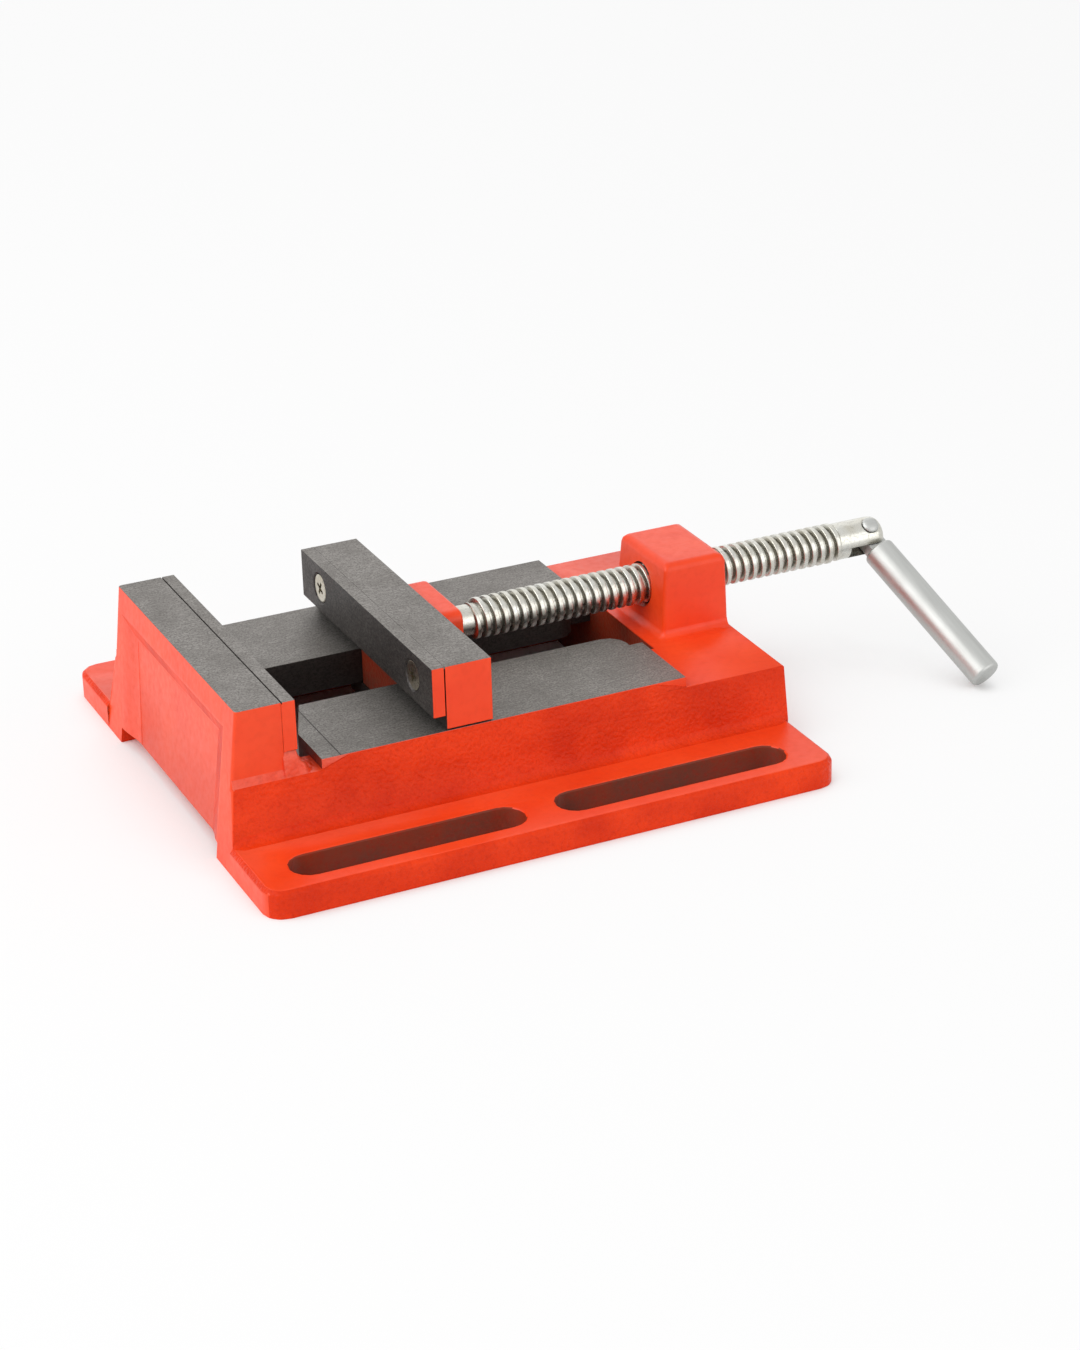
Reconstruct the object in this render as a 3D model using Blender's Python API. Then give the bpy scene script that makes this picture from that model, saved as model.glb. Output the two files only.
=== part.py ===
"""A four inch drill press vise: slotted base casting, sliding jaw, lead screw and folding handle.

World axes: X runs along the screw from the fixed jaw to the handle, Y across the jaws, Z up.
The origin is on the bench, in the middle of the space that the whole vise covers.
A station is a distance along X from the base's front edge. A setback is a distance along X
from the gripping face of the movable jaw, and moves with that jaw.
"""

import math

import bmesh
import bpy

MM = 0.001

# Fits
SEAT_GAP = 0.3 * MM
SLIDE_GAP = 0.4 * MM
HOLE_END_GAP = 0.5 * MM
OVERRUN = 2.0 * MM
ROUND_STEPS = 24
CORNER_STEPS = 3
SLOT_STEPS = 8
SMOOTH_ANGLE = math.radians(35.0)

# Base footprint
BASE_LENGTH = 176.3 * MM
FLANGE_REACH = 30.4 * MM
FLANGE_THICKNESS = 8.3 * MM
FLANGE_CORNER = 6.0 * MM
FLANGE_EDGE = 1.2 * MM

# Body of the casting
BODY_WIDTH = 107.4 * MM
SHOULDER_HEIGHT = 24.6 * MM
SHOULDER_WIDTH = 101.8 * MM
HOLLOW_WIDTH = 93.0 * MM
END_WALL = 6.0 * MM
REAR_ROOF = 6.0 * MM
ARCH_HEIGHT = 4.8 * MM
ARCH_WIDTH = 83.6 * MM

# Rails
RAIL_HEIGHT = 27.6 * MM
RAIL_WIDTH = 100.4 * MM
RAIL_THICKNESS = 11.1 * MM
RAIL_FRONT = 29.9 * MM
RAIL_LENGTH = 114.2 * MM
RAIL_NOSE_LENGTH = 7.2 * MM
RAIL_NOSE_WIDTH = 64.0 * MM
FRONT_GAP_WIDTH = 80.0 * MM
CENTRE_SLOT_WIDTH = 28.2 * MM
POCKET_WIDTH = 44.0 * MM
POCKET_LENGTH = 8.3 * MM
POCKET_PAST_RAILS = 4.1 * MM
POCKET_CORNER = 6.0 * MM

# Flange slots
SLOT_WIDTH = 12.2 * MM
SLOT_FROM_EDGE = 12.3 * MM
FRONT_SLOT_START = 10.9 * MM
FRONT_SLOT_LENGTH = 70.5 * MM
REAR_SLOT_START = 91.6 * MM
REAR_SLOT_LENGTH = 73.0 * MM

# Jaws
JAW_WIDTH = 100.0 * MM
JAW_HEIGHT = 47.3 * MM
JAW_OPENING = 40.9 * MM
FIXED_JAW_LEAN = 5.6 * MM
FIXED_JAW_THICKNESS = 13.5 * MM
MOVABLE_JAW_THICKNESS = 14.2 * MM
PANEL_DEPTH = 1.6 * MM
PANEL_HEIGHT = 38.5 * MM
PANEL_TOP_WIDTH = 77.0 * MM
PANEL_FOOT_WIDTH = 79.0 * MM
PLATE_THICKNESS = 3.8 * MM
PLATE_HEIGHT = 15.1 * MM

# Plate screws
PLATE_SCREW_SPACING = 71.0 * MM
PLATE_SCREW_RADIUS = 2.5 * MM
PLATE_SCREW_LENGTH = 11.0 * MM
PLATE_SCREW_DROP = 0.3 * MM
PLATE_SCREW_TIP = 0.6 * MM
COUNTERSINK_RADIUS = 5.1 * MM
RECESS_WIDTH = 1.1 * MM
RECESS_LENGTH = 4.4 * MM
RECESS_DEPTH = 1.4 * MM

# Lead screw
SCREW_HEIGHT = 36.3 * MM
THREAD_RADIUS = 6.2 * MM
THREAD_PITCH = 3.0 * MM
THREAD_DEPTH = 1.5 * MM
THREAD_CREST = 1.2 * MM
THREAD_FLANK = 0.4 * MM
THREAD_TURNS = 40
THREAD_STEPS = 18
THREAD_RELIEF = 1.0 * MM
NECK_LENGTH = 9.4 * MM
JOURNAL_DEPTH = 17.5 * MM
GROOVE_RADIUS = 3.3 * MM
GROOVE_WIDTH = 3.6 * MM
GROOVE_FROM_TIP = 4.0 * MM
TIP_CHAMFER = 1.0 * MM
PLAIN_END_RADIUS = 5.8 * MM
PLAIN_END_LENGTH = 17.4 * MM
END_ROUNDING = 2.5 * MM
SCREW_TURN = math.radians(32.9)

# Retaining pins of the lead screw
RETAINING_PIN_RADIUS = 1.5 * MM
RETAINING_PIN_LENGTH = 24.0 * MM
RETAINING_PIN_ABOVE_JOURNAL = 1.0 * MM
RETAINING_PIN_CHAMFER = 0.3 * MM

# Nut block
NUT_LENGTH = 22.2 * MM
NUT_WIDTH_LOW = 33.0 * MM
NUT_WIDTH_HIGH = 30.1 * MM
NUT_EDGE = 2.5 * MM
NUT_CORNER = 1.2 * MM
NUT_CHAMFER = 0.8 * MM
THREAD_CLEARANCE = 0.3 * MM
THREAD_SIDE_CLEARANCE = 0.15 * MM

# Movable jaw
BOSS_LENGTH = 7.4 * MM
BOSS_WIDTH = 29.0 * MM
BOSS_TOP = 46.0 * MM
BOSS_EDGE = 3.0 * MM
TONGUE_LENGTH = 25.4 * MM

# Keeper and its bolts
KEEPER_LENGTH = 26.4 * MM
KEEPER_WIDTH = 48.0 * MM
KEEPER_THICKNESS = 5.0 * MM
KEEPER_CORNER = 1.5 * MM
BOLT_RADIUS = 3.0 * MM
BOLT_SPACING = 13.4 * MM
BOLT_GRIP = 10.0 * MM
BOLT_HEAD_WIDTH = 10.0 * MM
BOLT_HEAD_THICKNESS = 4.0 * MM
BOLT_CHAMFER = 0.5 * MM
WASHER_RADIUS = 6.0 * MM
WASHER_THICKNESS = 1.5 * MM
SPRING_WASHER_RADIUS = 5.6 * MM
SPRING_WASHER_SPLIT = math.radians(14.0)

# Handle
HANDLE_PIN_FROM_END = 4.6 * MM
HANDLE_RADIUS = 5.0 * MM
HANDLE_LENGTH = 60.4 * MM
HANDLE_SHOULDER = 6.3 * MM
HANDLE_CHAMFER = 0.8 * MM
HANDLE_FOLD = math.radians(75.9)
FORK_SLOT_LENGTH = 12.8 * MM
FORK_SLOT_WIDTH = 5.2 * MM
HANDLE_PIN_RADIUS = 2.0 * MM
RIVET_HEAD_RADIUS = 2.7 * MM
RIVET_HEAD_HEIGHT = 1.3 * MM
SPOT_FACE_RADIUS = 3.2 * MM
SPOT_FACE_DEPTH = 0.7 * MM

# Widths, stations and heights of the base, worked out from the sizes above
BASE_WIDTH = BODY_WIDTH + 2 * FLANGE_REACH
SLOT_SPACING = BASE_WIDTH - 2 * SLOT_FROM_EDGE
RAIL_END = RAIL_FRONT + RAIL_LENGTH
RAIL_UNDERSIDE = RAIL_HEIGHT - RAIL_THICKNESS
BED_END = RAIL_END + POCKET_PAST_RAILS
NUT_FRONT = BASE_LENGTH - NUT_LENGTH
NUT_DRAFT = (NUT_WIDTH_LOW - NUT_WIDTH_HIGH) / 2
NUT_DRAFT_AT_SCREW = NUT_DRAFT * (SCREW_HEIGHT - SHOULDER_HEIGHT) / (JAW_HEIGHT - SHOULDER_HEIGHT)
FIXED_SEAT = FIXED_JAW_LEAN + FIXED_JAW_THICKNESS
FIXED_FACE = FIXED_SEAT + SEAT_GAP + PLATE_THICKNESS
MOVABLE_FACE = FIXED_FACE + JAW_OPENING
PLATE_UNDERSIDE = JAW_HEIGHT - PLATE_HEIGHT
PLATE_SCREW_HEIGHT = JAW_HEIGHT - PLATE_HEIGHT / 2

# Setbacks from the movable jaw's gripping face
JAW_SEAT = PLATE_THICKNESS + SEAT_GAP
JAW_REAR = JAW_SEAT + MOVABLE_JAW_THICKNESS
BOSS_REAR = JAW_REAR + BOSS_LENGTH
TONGUE_END = JAW_SEAT + TONGUE_LENGTH
TONGUE_CENTRE = JAW_SEAT + TONGUE_LENGTH / 2
RETAINING_PIN_SETBACK = BOSS_REAR - JOURNAL_DEPTH + GROOVE_FROM_TIP + GROOVE_WIDTH / 2

# Heights and half widths of the movable jaw
JAW_UNDERSIDE = RAIL_HEIGHT + SLIDE_GAP
KEEPER_TOP = RAIL_UNDERSIDE - SLIDE_GAP
KEEPER_UNDERSIDE = KEEPER_TOP - KEEPER_THICKNESS
TONGUE_UNDERSIDE = KEEPER_TOP + SEAT_GAP
TONGUE_HALF_WIDTH = CENTRE_SLOT_WIDTH / 2 - SLIDE_GAP
JOURNAL_RADIUS = THREAD_RADIUS - THREAD_DEPTH
RETAINING_PIN_SIDE = GROOVE_RADIUS + SEAT_GAP + RETAINING_PIN_RADIUS
RETAINING_PIN_TOP = SCREW_HEIGHT + JOURNAL_RADIUS + RETAINING_PIN_ABOVE_JOURNAL

# Distances along the lead screw from the rear of the jaw's boss
RIDGE_WIDTH = 2 * THREAD_FLANK + THREAD_CREST
THREAD_LENGTH = THREAD_TURNS * THREAD_PITCH + RIDGE_WIDTH
THREAD_END = NECK_LENGTH + THREAD_LENGTH
SCREW_LENGTH = THREAD_END + PLAIN_END_LENGTH
HANDLE_PIN_PLACE = SCREW_LENGTH - HANDLE_PIN_FROM_END
HANDLE_TONGUE_THICKNESS = FORK_SLOT_WIDTH - 2 * SLIDE_GAP
SPOT_FACE_HEIGHT = PLAIN_END_RADIUS - SPOT_FACE_DEPTH

# Whole vise
HANDLE_REACH = ((HANDLE_LENGTH - HANDLE_CHAMFER) * math.cos(HANDLE_FOLD)
                + HANDLE_RADIUS * math.sin(HANDLE_FOLD))
OVERALL_LENGTH = MOVABLE_FACE + BOSS_REAR + HANDLE_PIN_PLACE + HANDLE_REACH


def clear_scene():
    """Start from an empty scene."""
    for item in list(bpy.data.objects):
        bpy.data.objects.remove(item, do_unlink=True)


def make_material(name, colour, metallic, roughness):
    """A plain shaded material."""
    material = bpy.data.materials.new(name)
    material.use_nodes = True
    shader = material.node_tree.nodes["Principled BSDF"]
    shader.inputs["Base Color"].default_value = (*colour, 1.0)
    shader.inputs["Metallic"].default_value = metallic
    shader.inputs["Roughness"].default_value = roughness
    return material


# Outlines


def arc(centre_u, centre_v, radius, start, end, steps=CORNER_STEPS):
    """Points along an arc from one angle to another, both ends included."""
    points = []
    for step in range(steps + 1):
        angle = start + (end - start) * step / steps
        points.append((centre_u + radius * math.cos(angle), centre_v + radius * math.sin(angle)))
    return points


def rectangle(u_low, u_high, v_low, v_high):
    """Outline of a rectangle."""
    return [(u_low, v_low), (u_high, v_low), (u_high, v_high), (u_low, v_high)]


def rounded_rectangle(u_low, u_high, width, radius):
    """Outline of a rectangle with round corners, centred across."""
    quarter = math.pi / 2
    v_inner = width / 2 - radius
    corners = (
        (u_high - radius, -v_inner, -quarter),
        (u_high - radius, v_inner, 0),
        (u_low + radius, v_inner, quarter),
        (u_low + radius, -v_inner, 2 * quarter),
    )
    points = []
    for centre_u, centre_v, start in corners:
        points += arc(centre_u, centre_v, radius, start, start + quarter)
    return points


def slot_outline(u_low, u_high, centre_v, width):
    """Outline of a straight slot with round ends."""
    radius = width / 2
    quarter = math.pi / 2
    far_end = arc(u_high - radius, centre_v, radius, -quarter, quarter, SLOT_STEPS)
    near_end = arc(u_low + radius, centre_v, radius, quarter, 3 * quarter, SLOT_STEPS)
    return far_end + near_end


def mirrored(half_outline):
    """Closed outline from its half on one side, both sides alike."""
    return half_outline + [(u, -v) for u, v in reversed(half_outline)]


# Solids


def make_object(name, builder, material=None):
    """Turn a finished bmesh into an object."""
    bmesh.ops.recalc_face_normals(builder, faces=builder.faces)
    mesh = bpy.data.meshes.new(name)
    builder.to_mesh(mesh)
    builder.free()
    if material:
        mesh.materials.append(material)
    item = bpy.data.objects.new(name, mesh)
    bpy.context.scene.collection.objects.link(item)
    return item


def loft(name, rings, material=None):
    """Closed solid through rings of points, with both ends capped."""
    builder = bmesh.new()
    rows = [[builder.verts.new(point) for point in ring] for ring in rings]
    for row, next_row in zip(rows, rows[1:]):
        for index in range(len(row)):
            after = (index + 1) % len(row)
            builder.faces.new((row[index], row[after], next_row[after], next_row[index]))
    builder.faces.new(rows[0])
    builder.faces.new(rows[-1])
    return make_object(name, builder, material)


def level_ring(outline, height):
    """An XY outline at one height."""
    return [(u, v, height) for u, v in outline]


def upright(name, outline, low, high, material=None):
    """Straight solid with an XY outline."""
    return loft(name, [level_ring(outline, low), level_ring(outline, high)], material)


def block(name, x_range, half_width, z_range, material=None):
    """Box centred on Y."""
    outline = rectangle(*x_range, -half_width, half_width)
    return upright(name, outline, *z_range, material)


def across(name, outline, half_width, material=None):
    """Solid with an XZ outline, centred on Y."""
    rings = [[(u, side * half_width, v) for u, v in outline] for side in (-1, 1)]
    return loft(name, rings, material)


def lengthwise(name, outline, low, high, material=None):
    """Solid with a YZ outline, between two places on X."""
    return loft(name, [[(place, u, v) for u, v in outline] for place in (low, high)], material)


def on_axis(axis, distance, radius, angle):
    """Point at a distance along an axis and an angle round it."""
    first = radius * math.cos(angle)
    second = radius * math.sin(angle)
    places = {"X": (distance, first, second), "Z": (first, second, distance)}
    return places[axis]


def turned(name, profile, axis, centre=(0, 0, 0), material=None):
    """Round solid from (distance, radius) pairs along an axis through a centre."""
    angles = [2 * math.pi * step / ROUND_STEPS for step in range(ROUND_STEPS)]
    rings = []
    for distance, radius in profile:
        ring = []
        for angle in angles:
            point = on_axis(axis, distance, radius, angle)
            ring.append(tuple(place + shift for place, shift in zip(point, centre)))
        rings.append(ring)
    return loft(name, rings, material)


def washer(name, inner, outer, low, high, split=0.0, material=None):
    """Flat ring round Z, open over the split angle."""
    builder = bmesh.new()
    count = ROUND_STEPS + 1 if split else ROUND_STEPS
    sections = []
    for step in range(count):
        angle = split / 2 + (2 * math.pi - split) * step / ROUND_STEPS
        corners = ((low, inner), (low, outer), (high, outer), (high, inner))
        sections.append([builder.verts.new(on_axis("Z", z, radius, angle)) for z, radius in corners])
    pairs = list(zip(sections, sections[1:]))
    if split:
        builder.faces.new(sections[0])
        builder.faces.new(sections[-1])
    else:
        pairs.append((sections[-1], sections[0]))
    for here, there in pairs:
        for index in range(len(here)):
            after = (index + 1) % len(here)
            builder.faces.new((here[index], here[after], there[after], there[index]))
    return make_object(name, builder, material)


def threaded(name, front, rear, turns, start, radius, root, crest, fade_steps, material=None):
    """Rod along X with a right hand thread, whose turned ends are (distance, radius) pairs.

    The ridge starts at angle zero and fades in and out over a number of steps.
    """
    builder = bmesh.new()
    step_count = turns * THREAD_STEPS
    angles = [2 * math.pi * step / THREAD_STEPS for step in range(THREAD_STEPS)]

    def ring(distance, ring_radius):
        return [builder.verts.new(on_axis("X", distance, ring_radius, angle)) for angle in angles]

    def ridge(step):
        share = min(1.0, (step + 1) / (fade_steps + 1), (step_count - step + 1) / (fade_steps + 1))
        top = root + (radius - root) * share
        foot = start + THREAD_PITCH * step / THREAD_STEPS
        places = (foot, foot + THREAD_FLANK, foot + THREAD_FLANK + crest, foot + 2 * THREAD_FLANK + crest)
        sizes = (root, top, top, root)
        angle = angles[step % THREAD_STEPS]
        return [builder.verts.new(on_axis("X", *pair, angle)) for pair in zip(places, sizes)]

    def join_rings(rings):
        for row, next_row in zip(rings, rings[1:]):
            for index in range(THREAD_STEPS):
                after = (index + 1) % THREAD_STEPS
                builder.faces.new((row[index], row[after], next_row[after], next_row[index]))

    def fan(apex, points):
        for point, next_point in zip(points, points[1:]):
            builder.faces.new((apex, point, next_point))

    front_rings = [ring(*pair) for pair in front]
    rear_rings = [ring(*pair) for pair in rear]
    join_rings(front_rings)
    join_rings(rear_rings)
    builder.faces.new(front_rings[0])
    builder.faces.new(rear_rings[-1])

    ridges = [ridge(step) for step in range(step_count + 1)]
    builder.faces.new(ridges[0])
    builder.faces.new(ridges[-1])
    for here, there in zip(ridges, ridges[1:]):
        for index in range(len(here) - 1):
            builder.faces.new((here[index], there[index], there[index + 1], here[index + 1]))
    for step in range(step_count - THREAD_STEPS):
        near, far = ridges[step:step + 2], ridges[step + THREAD_STEPS:step + THREAD_STEPS + 2]
        builder.faces.new((near[0][-1], near[1][-1], far[1][0], far[0][0]))

    # The first and last turns close against plain rings of the root's size
    first, last = front_rings[-1], rear_rings[0]
    for step in range(THREAD_STEPS - 1):
        builder.faces.new((first[step], first[step + 1], ridges[step + 1][0], ridges[step][0]))
        mirror = step_count - 1 - step
        low, high = mirror % THREAD_STEPS, (mirror + 1) % THREAD_STEPS
        builder.faces.new((ridges[mirror][-1], ridges[mirror + 1][-1], last[high], last[low]))
    seam = [first[0], ridges[0][0], ridges[0][-1], ridges[THREAD_STEPS][0]]
    fan(first[-1], seam + [ridges[THREAD_STEPS - 1][0]])
    before_last = step_count - THREAD_STEPS
    seam = [last[0], ridges[-1][-1], ridges[-1][0], ridges[before_last][-1]]
    fan(last[1], seam + [ridges[before_last + 1][-1]])
    bmesh.ops.triangulate(builder, faces=builder.faces)
    return make_object(name, builder, material)


def combine(target, tool, operation):
    """Join a tool solid to a target or cut it away, and drop the tool."""
    modifier = target.modifiers.new(operation, "BOOLEAN")
    modifier.operation = operation
    modifier.solver = "EXACT"
    modifier.object = tool
    graph = bpy.context.evaluated_depsgraph_get()
    plain_mesh = target.data
    target.data = bpy.data.meshes.new_from_object(target.evaluated_get(graph))
    target.modifiers.clear()
    bpy.data.meshes.remove(plain_mesh)
    bpy.data.objects.remove(tool, do_unlink=True)


def join(target, tool):
    """Add a solid to a target."""
    combine(target, tool, "UNION")


def cut(target, tool):
    """Cut a solid out of a target."""
    combine(target, tool, "DIFFERENCE")


def place(item, parent, location=(0, 0, 0)):
    """Shade a finished piece and hang it on its empty."""
    item.data.shade_smooth()
    item.data.set_sharp_from_angle(angle=SMOOTH_ANGLE)
    item.parent = parent
    item.location = location


def make_empty(name, parent, location, rotation=(0, 0, 0)):
    """Empty that carries pieces."""
    empty = bpy.data.objects.new(name, None)
    bpy.context.scene.collection.objects.link(empty)
    empty.parent = parent
    empty.location = location
    empty.rotation_euler = rotation
    return empty


# Base casting, in stations


def fixed_jaw_front(height):
    """Station of the leaning front face at a height."""
    return FIXED_JAW_LEAN * height / JAW_HEIGHT


def flange_plate(material):
    """Foot of the casting, with a softened top edge."""
    inset_outline = rounded_rectangle(FLANGE_EDGE, BASE_LENGTH - FLANGE_EDGE,
                                      BASE_WIDTH - 2 * FLANGE_EDGE, FLANGE_CORNER - FLANGE_EDGE)
    outline = rounded_rectangle(0, BASE_LENGTH, BASE_WIDTH, FLANGE_CORNER)
    rings = [level_ring(outline, 0), level_ring(outline, FLANGE_THICKNESS - FLANGE_EDGE),
             level_ring(inset_outline, FLANGE_THICKNESS)]
    return loft("base_casting", rings, material)


def drafted_body():
    """Hollow body under the rails, narrower at the shoulder than at the flange."""
    rings = []
    for height, width in ((FLANGE_THICKNESS / 2, BODY_WIDTH), (FLANGE_THICKNESS, BODY_WIDTH),
                          (SHOULDER_HEIGHT, SHOULDER_WIDTH)):
        rings.append(level_ring(rectangle(0, BASE_LENGTH, -width / 2, width / 2), height))
    return loft("body", rings)


def nut_block():
    """Block that carries the screw: drafted in front and at the sides, upright behind."""

    def ring(draft, inset, height):
        outline = rounded_rectangle(NUT_FRONT + draft + inset, BASE_LENGTH - inset,
                                    NUT_WIDTH_LOW - 2 * (draft + inset), NUT_CORNER)
        return level_ring(outline, height)

    rings = [ring(0, 0, FLANGE_THICKNESS), ring(0, 0, SHOULDER_HEIGHT)]
    for out, up in arc(0, 0, NUT_EDGE, 0, math.pi / 2):
        rings.append(ring(NUT_DRAFT, NUT_EDGE - out, JAW_HEIGHT - NUT_EDGE + up))
    return loft("nut_block", rings)


def bed_opening():
    """Plan of the gap behind the fixed jaw, the centre slot and the rear pocket."""
    slot = CENTRE_SLOT_WIDTH / 2
    pocket_start = BED_END - POCKET_LENGTH
    half = [(FIXED_SEAT, FRONT_GAP_WIDTH / 2), (RAIL_FRONT, FRONT_GAP_WIDTH / 2),
            (RAIL_FRONT, RAIL_NOSE_WIDTH / 2), (RAIL_FRONT + RAIL_NOSE_LENGTH, slot)]
    half += arc(pocket_start - POCKET_CORNER, slot + POCKET_CORNER, POCKET_CORNER, -math.pi / 2, 0)
    half += [(pocket_start, POCKET_WIDTH / 2), (BED_END, POCKET_WIDTH / 2)]
    return upright("bed_opening", mirrored(half), RAIL_UNDERSIDE - OVERRUN, RAIL_HEIGHT + OVERRUN)


def front_panel():
    """Shallow recess in the leaning front face, from the arch up."""
    half_foot = PANEL_FOOT_WIDTH / 2
    half_top = PANEL_TOP_WIDTH / 2
    outline = [(-half_foot, -OVERRUN), (half_foot, -OVERRUN), (half_top, PANEL_HEIGHT),
               (-half_top, PANEL_HEIGHT)]
    front = [(-OVERRUN, u, v) for u, v in outline]
    back = [(fixed_jaw_front(v) + PANEL_DEPTH, u, v) for u, v in outline]
    return loft("front_panel", [front, back])


def nut_thread():
    """Thread cutter that follows the lead screw with a running clearance."""
    screw_thread_start = MOVABLE_FACE + BOSS_REAR + NECK_LENGTH
    turns_before = math.floor((NUT_FRONT - screw_thread_start) / THREAD_PITCH) - 1
    start = screw_thread_start + turns_before * THREAD_PITCH - THREAD_SIDE_CLEARANCE
    turns = math.ceil((BASE_LENGTH - start) / THREAD_PITCH) + 1
    end = start + turns * THREAD_PITCH + RIDGE_WIDTH
    root = JOURNAL_RADIUS + THREAD_CLEARANCE
    front = [(start - THREAD_RELIEF, root)]
    rear = [(end + THREAD_RELIEF, root)]
    tool = threaded("nut_thread", front, rear, turns, start, THREAD_RADIUS + THREAD_CLEARANCE, root,
                    THREAD_CREST + 2 * THREAD_SIDE_CLEARANCE, 0)
    tool.rotation_euler = (SCREW_TURN, 0, 0)
    tool.location = (0, 0, SCREW_HEIGHT)
    return tool


def nut_chamfer(face_station, direction):
    """Cone that opens one end of the threaded hole."""
    mouth = THREAD_RADIUS + THREAD_CLEARANCE + NUT_CHAMFER
    depth = mouth - JOURNAL_RADIUS
    profile = [(face_station - direction * OVERRUN, mouth), (face_station, mouth),
               (face_station + direction * depth, JOURNAL_RADIUS)]
    return turned("nut_chamfer", profile, "X", (0, 0, SCREW_HEIGHT))


def plate_screw_holes(target, first, last):
    """Blind holes for both plate screws, between two places on X."""
    radius = PLATE_SCREW_RADIUS + SEAT_GAP
    for side in (-1, 1):
        centre = (0, side * PLATE_SCREW_SPACING / 2, PLATE_SCREW_HEIGHT)
        cut(target, turned("screw_hole", [(first, radius), (last, radius)], "X", centre))


def build_base(material):
    """One casting: flanges, body, rails, fixed jaw and nut block."""
    base = flange_plate(material)
    join(base, drafted_body())
    join(base, block("rails", (RAIL_FRONT, RAIL_END), RAIL_WIDTH / 2, (RAIL_UNDERSIDE, RAIL_HEIGHT)))
    join(base, block("fixed_jaw", (0, FIXED_SEAT), JAW_WIDTH / 2, (RAIL_UNDERSIDE, JAW_HEIGHT)))
    join(base, nut_block())

    lean_cut = [(fixed_jaw_front(height), height) for height in (-OVERRUN, JAW_HEIGHT + OVERRUN)]
    lean_cut += [(-OVERRUN, JAW_HEIGHT + OVERRUN), (-OVERRUN, -OVERRUN)]
    cut(base, across("lean_cut", lean_cut, BODY_WIDTH / 2))
    cut(base, front_panel())
    cut(base, block("arch", (-OVERRUN, FIXED_SEAT + OVERRUN), ARCH_WIDTH / 2, (-OVERRUN, ARCH_HEIGHT)))
    cut(base, block("hollow", (FIXED_SEAT, BED_END), HOLLOW_WIDTH / 2, (-OVERRUN, RAIL_UNDERSIDE)))
    rear_hollow = (BED_END + END_WALL, BASE_LENGTH - END_WALL)
    cut(base, block("rear_hollow", rear_hollow, HOLLOW_WIDTH / 2,
                    (-OVERRUN, SHOULDER_HEIGHT - REAR_ROOF)))
    cut(base, bed_opening())
    for side in (-1, 1):
        for start, length in ((FRONT_SLOT_START, FRONT_SLOT_LENGTH), (REAR_SLOT_START, REAR_SLOT_LENGTH)):
            outline = slot_outline(start, start + length, side * SLOT_SPACING / 2, SLOT_WIDTH)
            cut(base, upright("flange_slot", outline, -OVERRUN, FLANGE_THICKNESS + OVERRUN))
    screw_reach = FIXED_FACE - PLATE_SCREW_DROP - PLATE_SCREW_LENGTH - HOLE_END_GAP
    plate_screw_holes(base, screw_reach, FIXED_SEAT + OVERRUN)
    cut(base, nut_thread())
    cut(base, nut_chamfer(NUT_FRONT + NUT_DRAFT_AT_SCREW, 1))
    cut(base, nut_chamfer(BASE_LENGTH, -1))
    return base


# Jaw plates and their screws, with the gripping face at zero and the jaw behind it


def build_plate(name, direction, material):
    """Flat steel jaw plate with two countersunk holes."""
    x_range = sorted((0, direction * PLATE_THICKNESS))
    plate = block(name, x_range, JAW_WIDTH / 2, (PLATE_UNDERSIDE, JAW_HEIGHT), material)
    bore = PLATE_SCREW_RADIUS + SEAT_GAP
    for side in (-1, 1):
        profile = [(-OVERRUN, COUNTERSINK_RADIUS), (0, COUNTERSINK_RADIUS),
                   (COUNTERSINK_RADIUS - bore, bore), (PLATE_THICKNESS + OVERRUN, bore)]
        profile = [(direction * distance, radius) for distance, radius in profile]
        centre = (0, side * PLATE_SCREW_SPACING / 2, PLATE_SCREW_HEIGHT)
        cut(plate, turned("countersink", profile, "X", centre))
    return plate


def build_plate_screw(name, direction, material):
    """Countersunk screw with a cross recess, pointing along X."""
    head_radius = COUNTERSINK_RADIUS - PLATE_SCREW_DROP - math.sqrt(2) * SEAT_GAP
    tip = PLATE_SCREW_RADIUS - PLATE_SCREW_TIP
    profile = [(0, head_radius), (head_radius - PLATE_SCREW_RADIUS, PLATE_SCREW_RADIUS),
               (PLATE_SCREW_LENGTH - PLATE_SCREW_TIP, PLATE_SCREW_RADIUS), (PLATE_SCREW_LENGTH, tip)]
    profile = [(direction * distance, radius) for distance, radius in profile]
    screw = turned(name, profile, "X", material=material)
    x_range = sorted((-direction * OVERRUN, direction * RECESS_DEPTH))
    half_length = RECESS_LENGTH / 2
    half_width = RECESS_WIDTH / 2
    cut(screw, block("recess", x_range, half_length, (-half_width, half_width)))
    cut(screw, block("recess", x_range, half_width, (-half_length, half_length)))
    return screw


def build_plate_set(prefix, parent, face, direction, plate_material, screw_material):
    """A jaw plate and its two screws, with the jaw behind the plate in this direction."""
    place(build_plate(prefix + "_jaw_plate", direction, plate_material), parent, (face, 0, 0))
    for side, word in ((1, "left"), (-1, "right")):
        name = prefix + "_plate_screw_" + word
        location = (face + direction * PLATE_SCREW_DROP, side * PLATE_SCREW_SPACING / 2,
                    PLATE_SCREW_HEIGHT)
        place(build_plate_screw(name, direction, screw_material), parent, location)


# Movable jaw and what hangs on it, in setbacks


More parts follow.
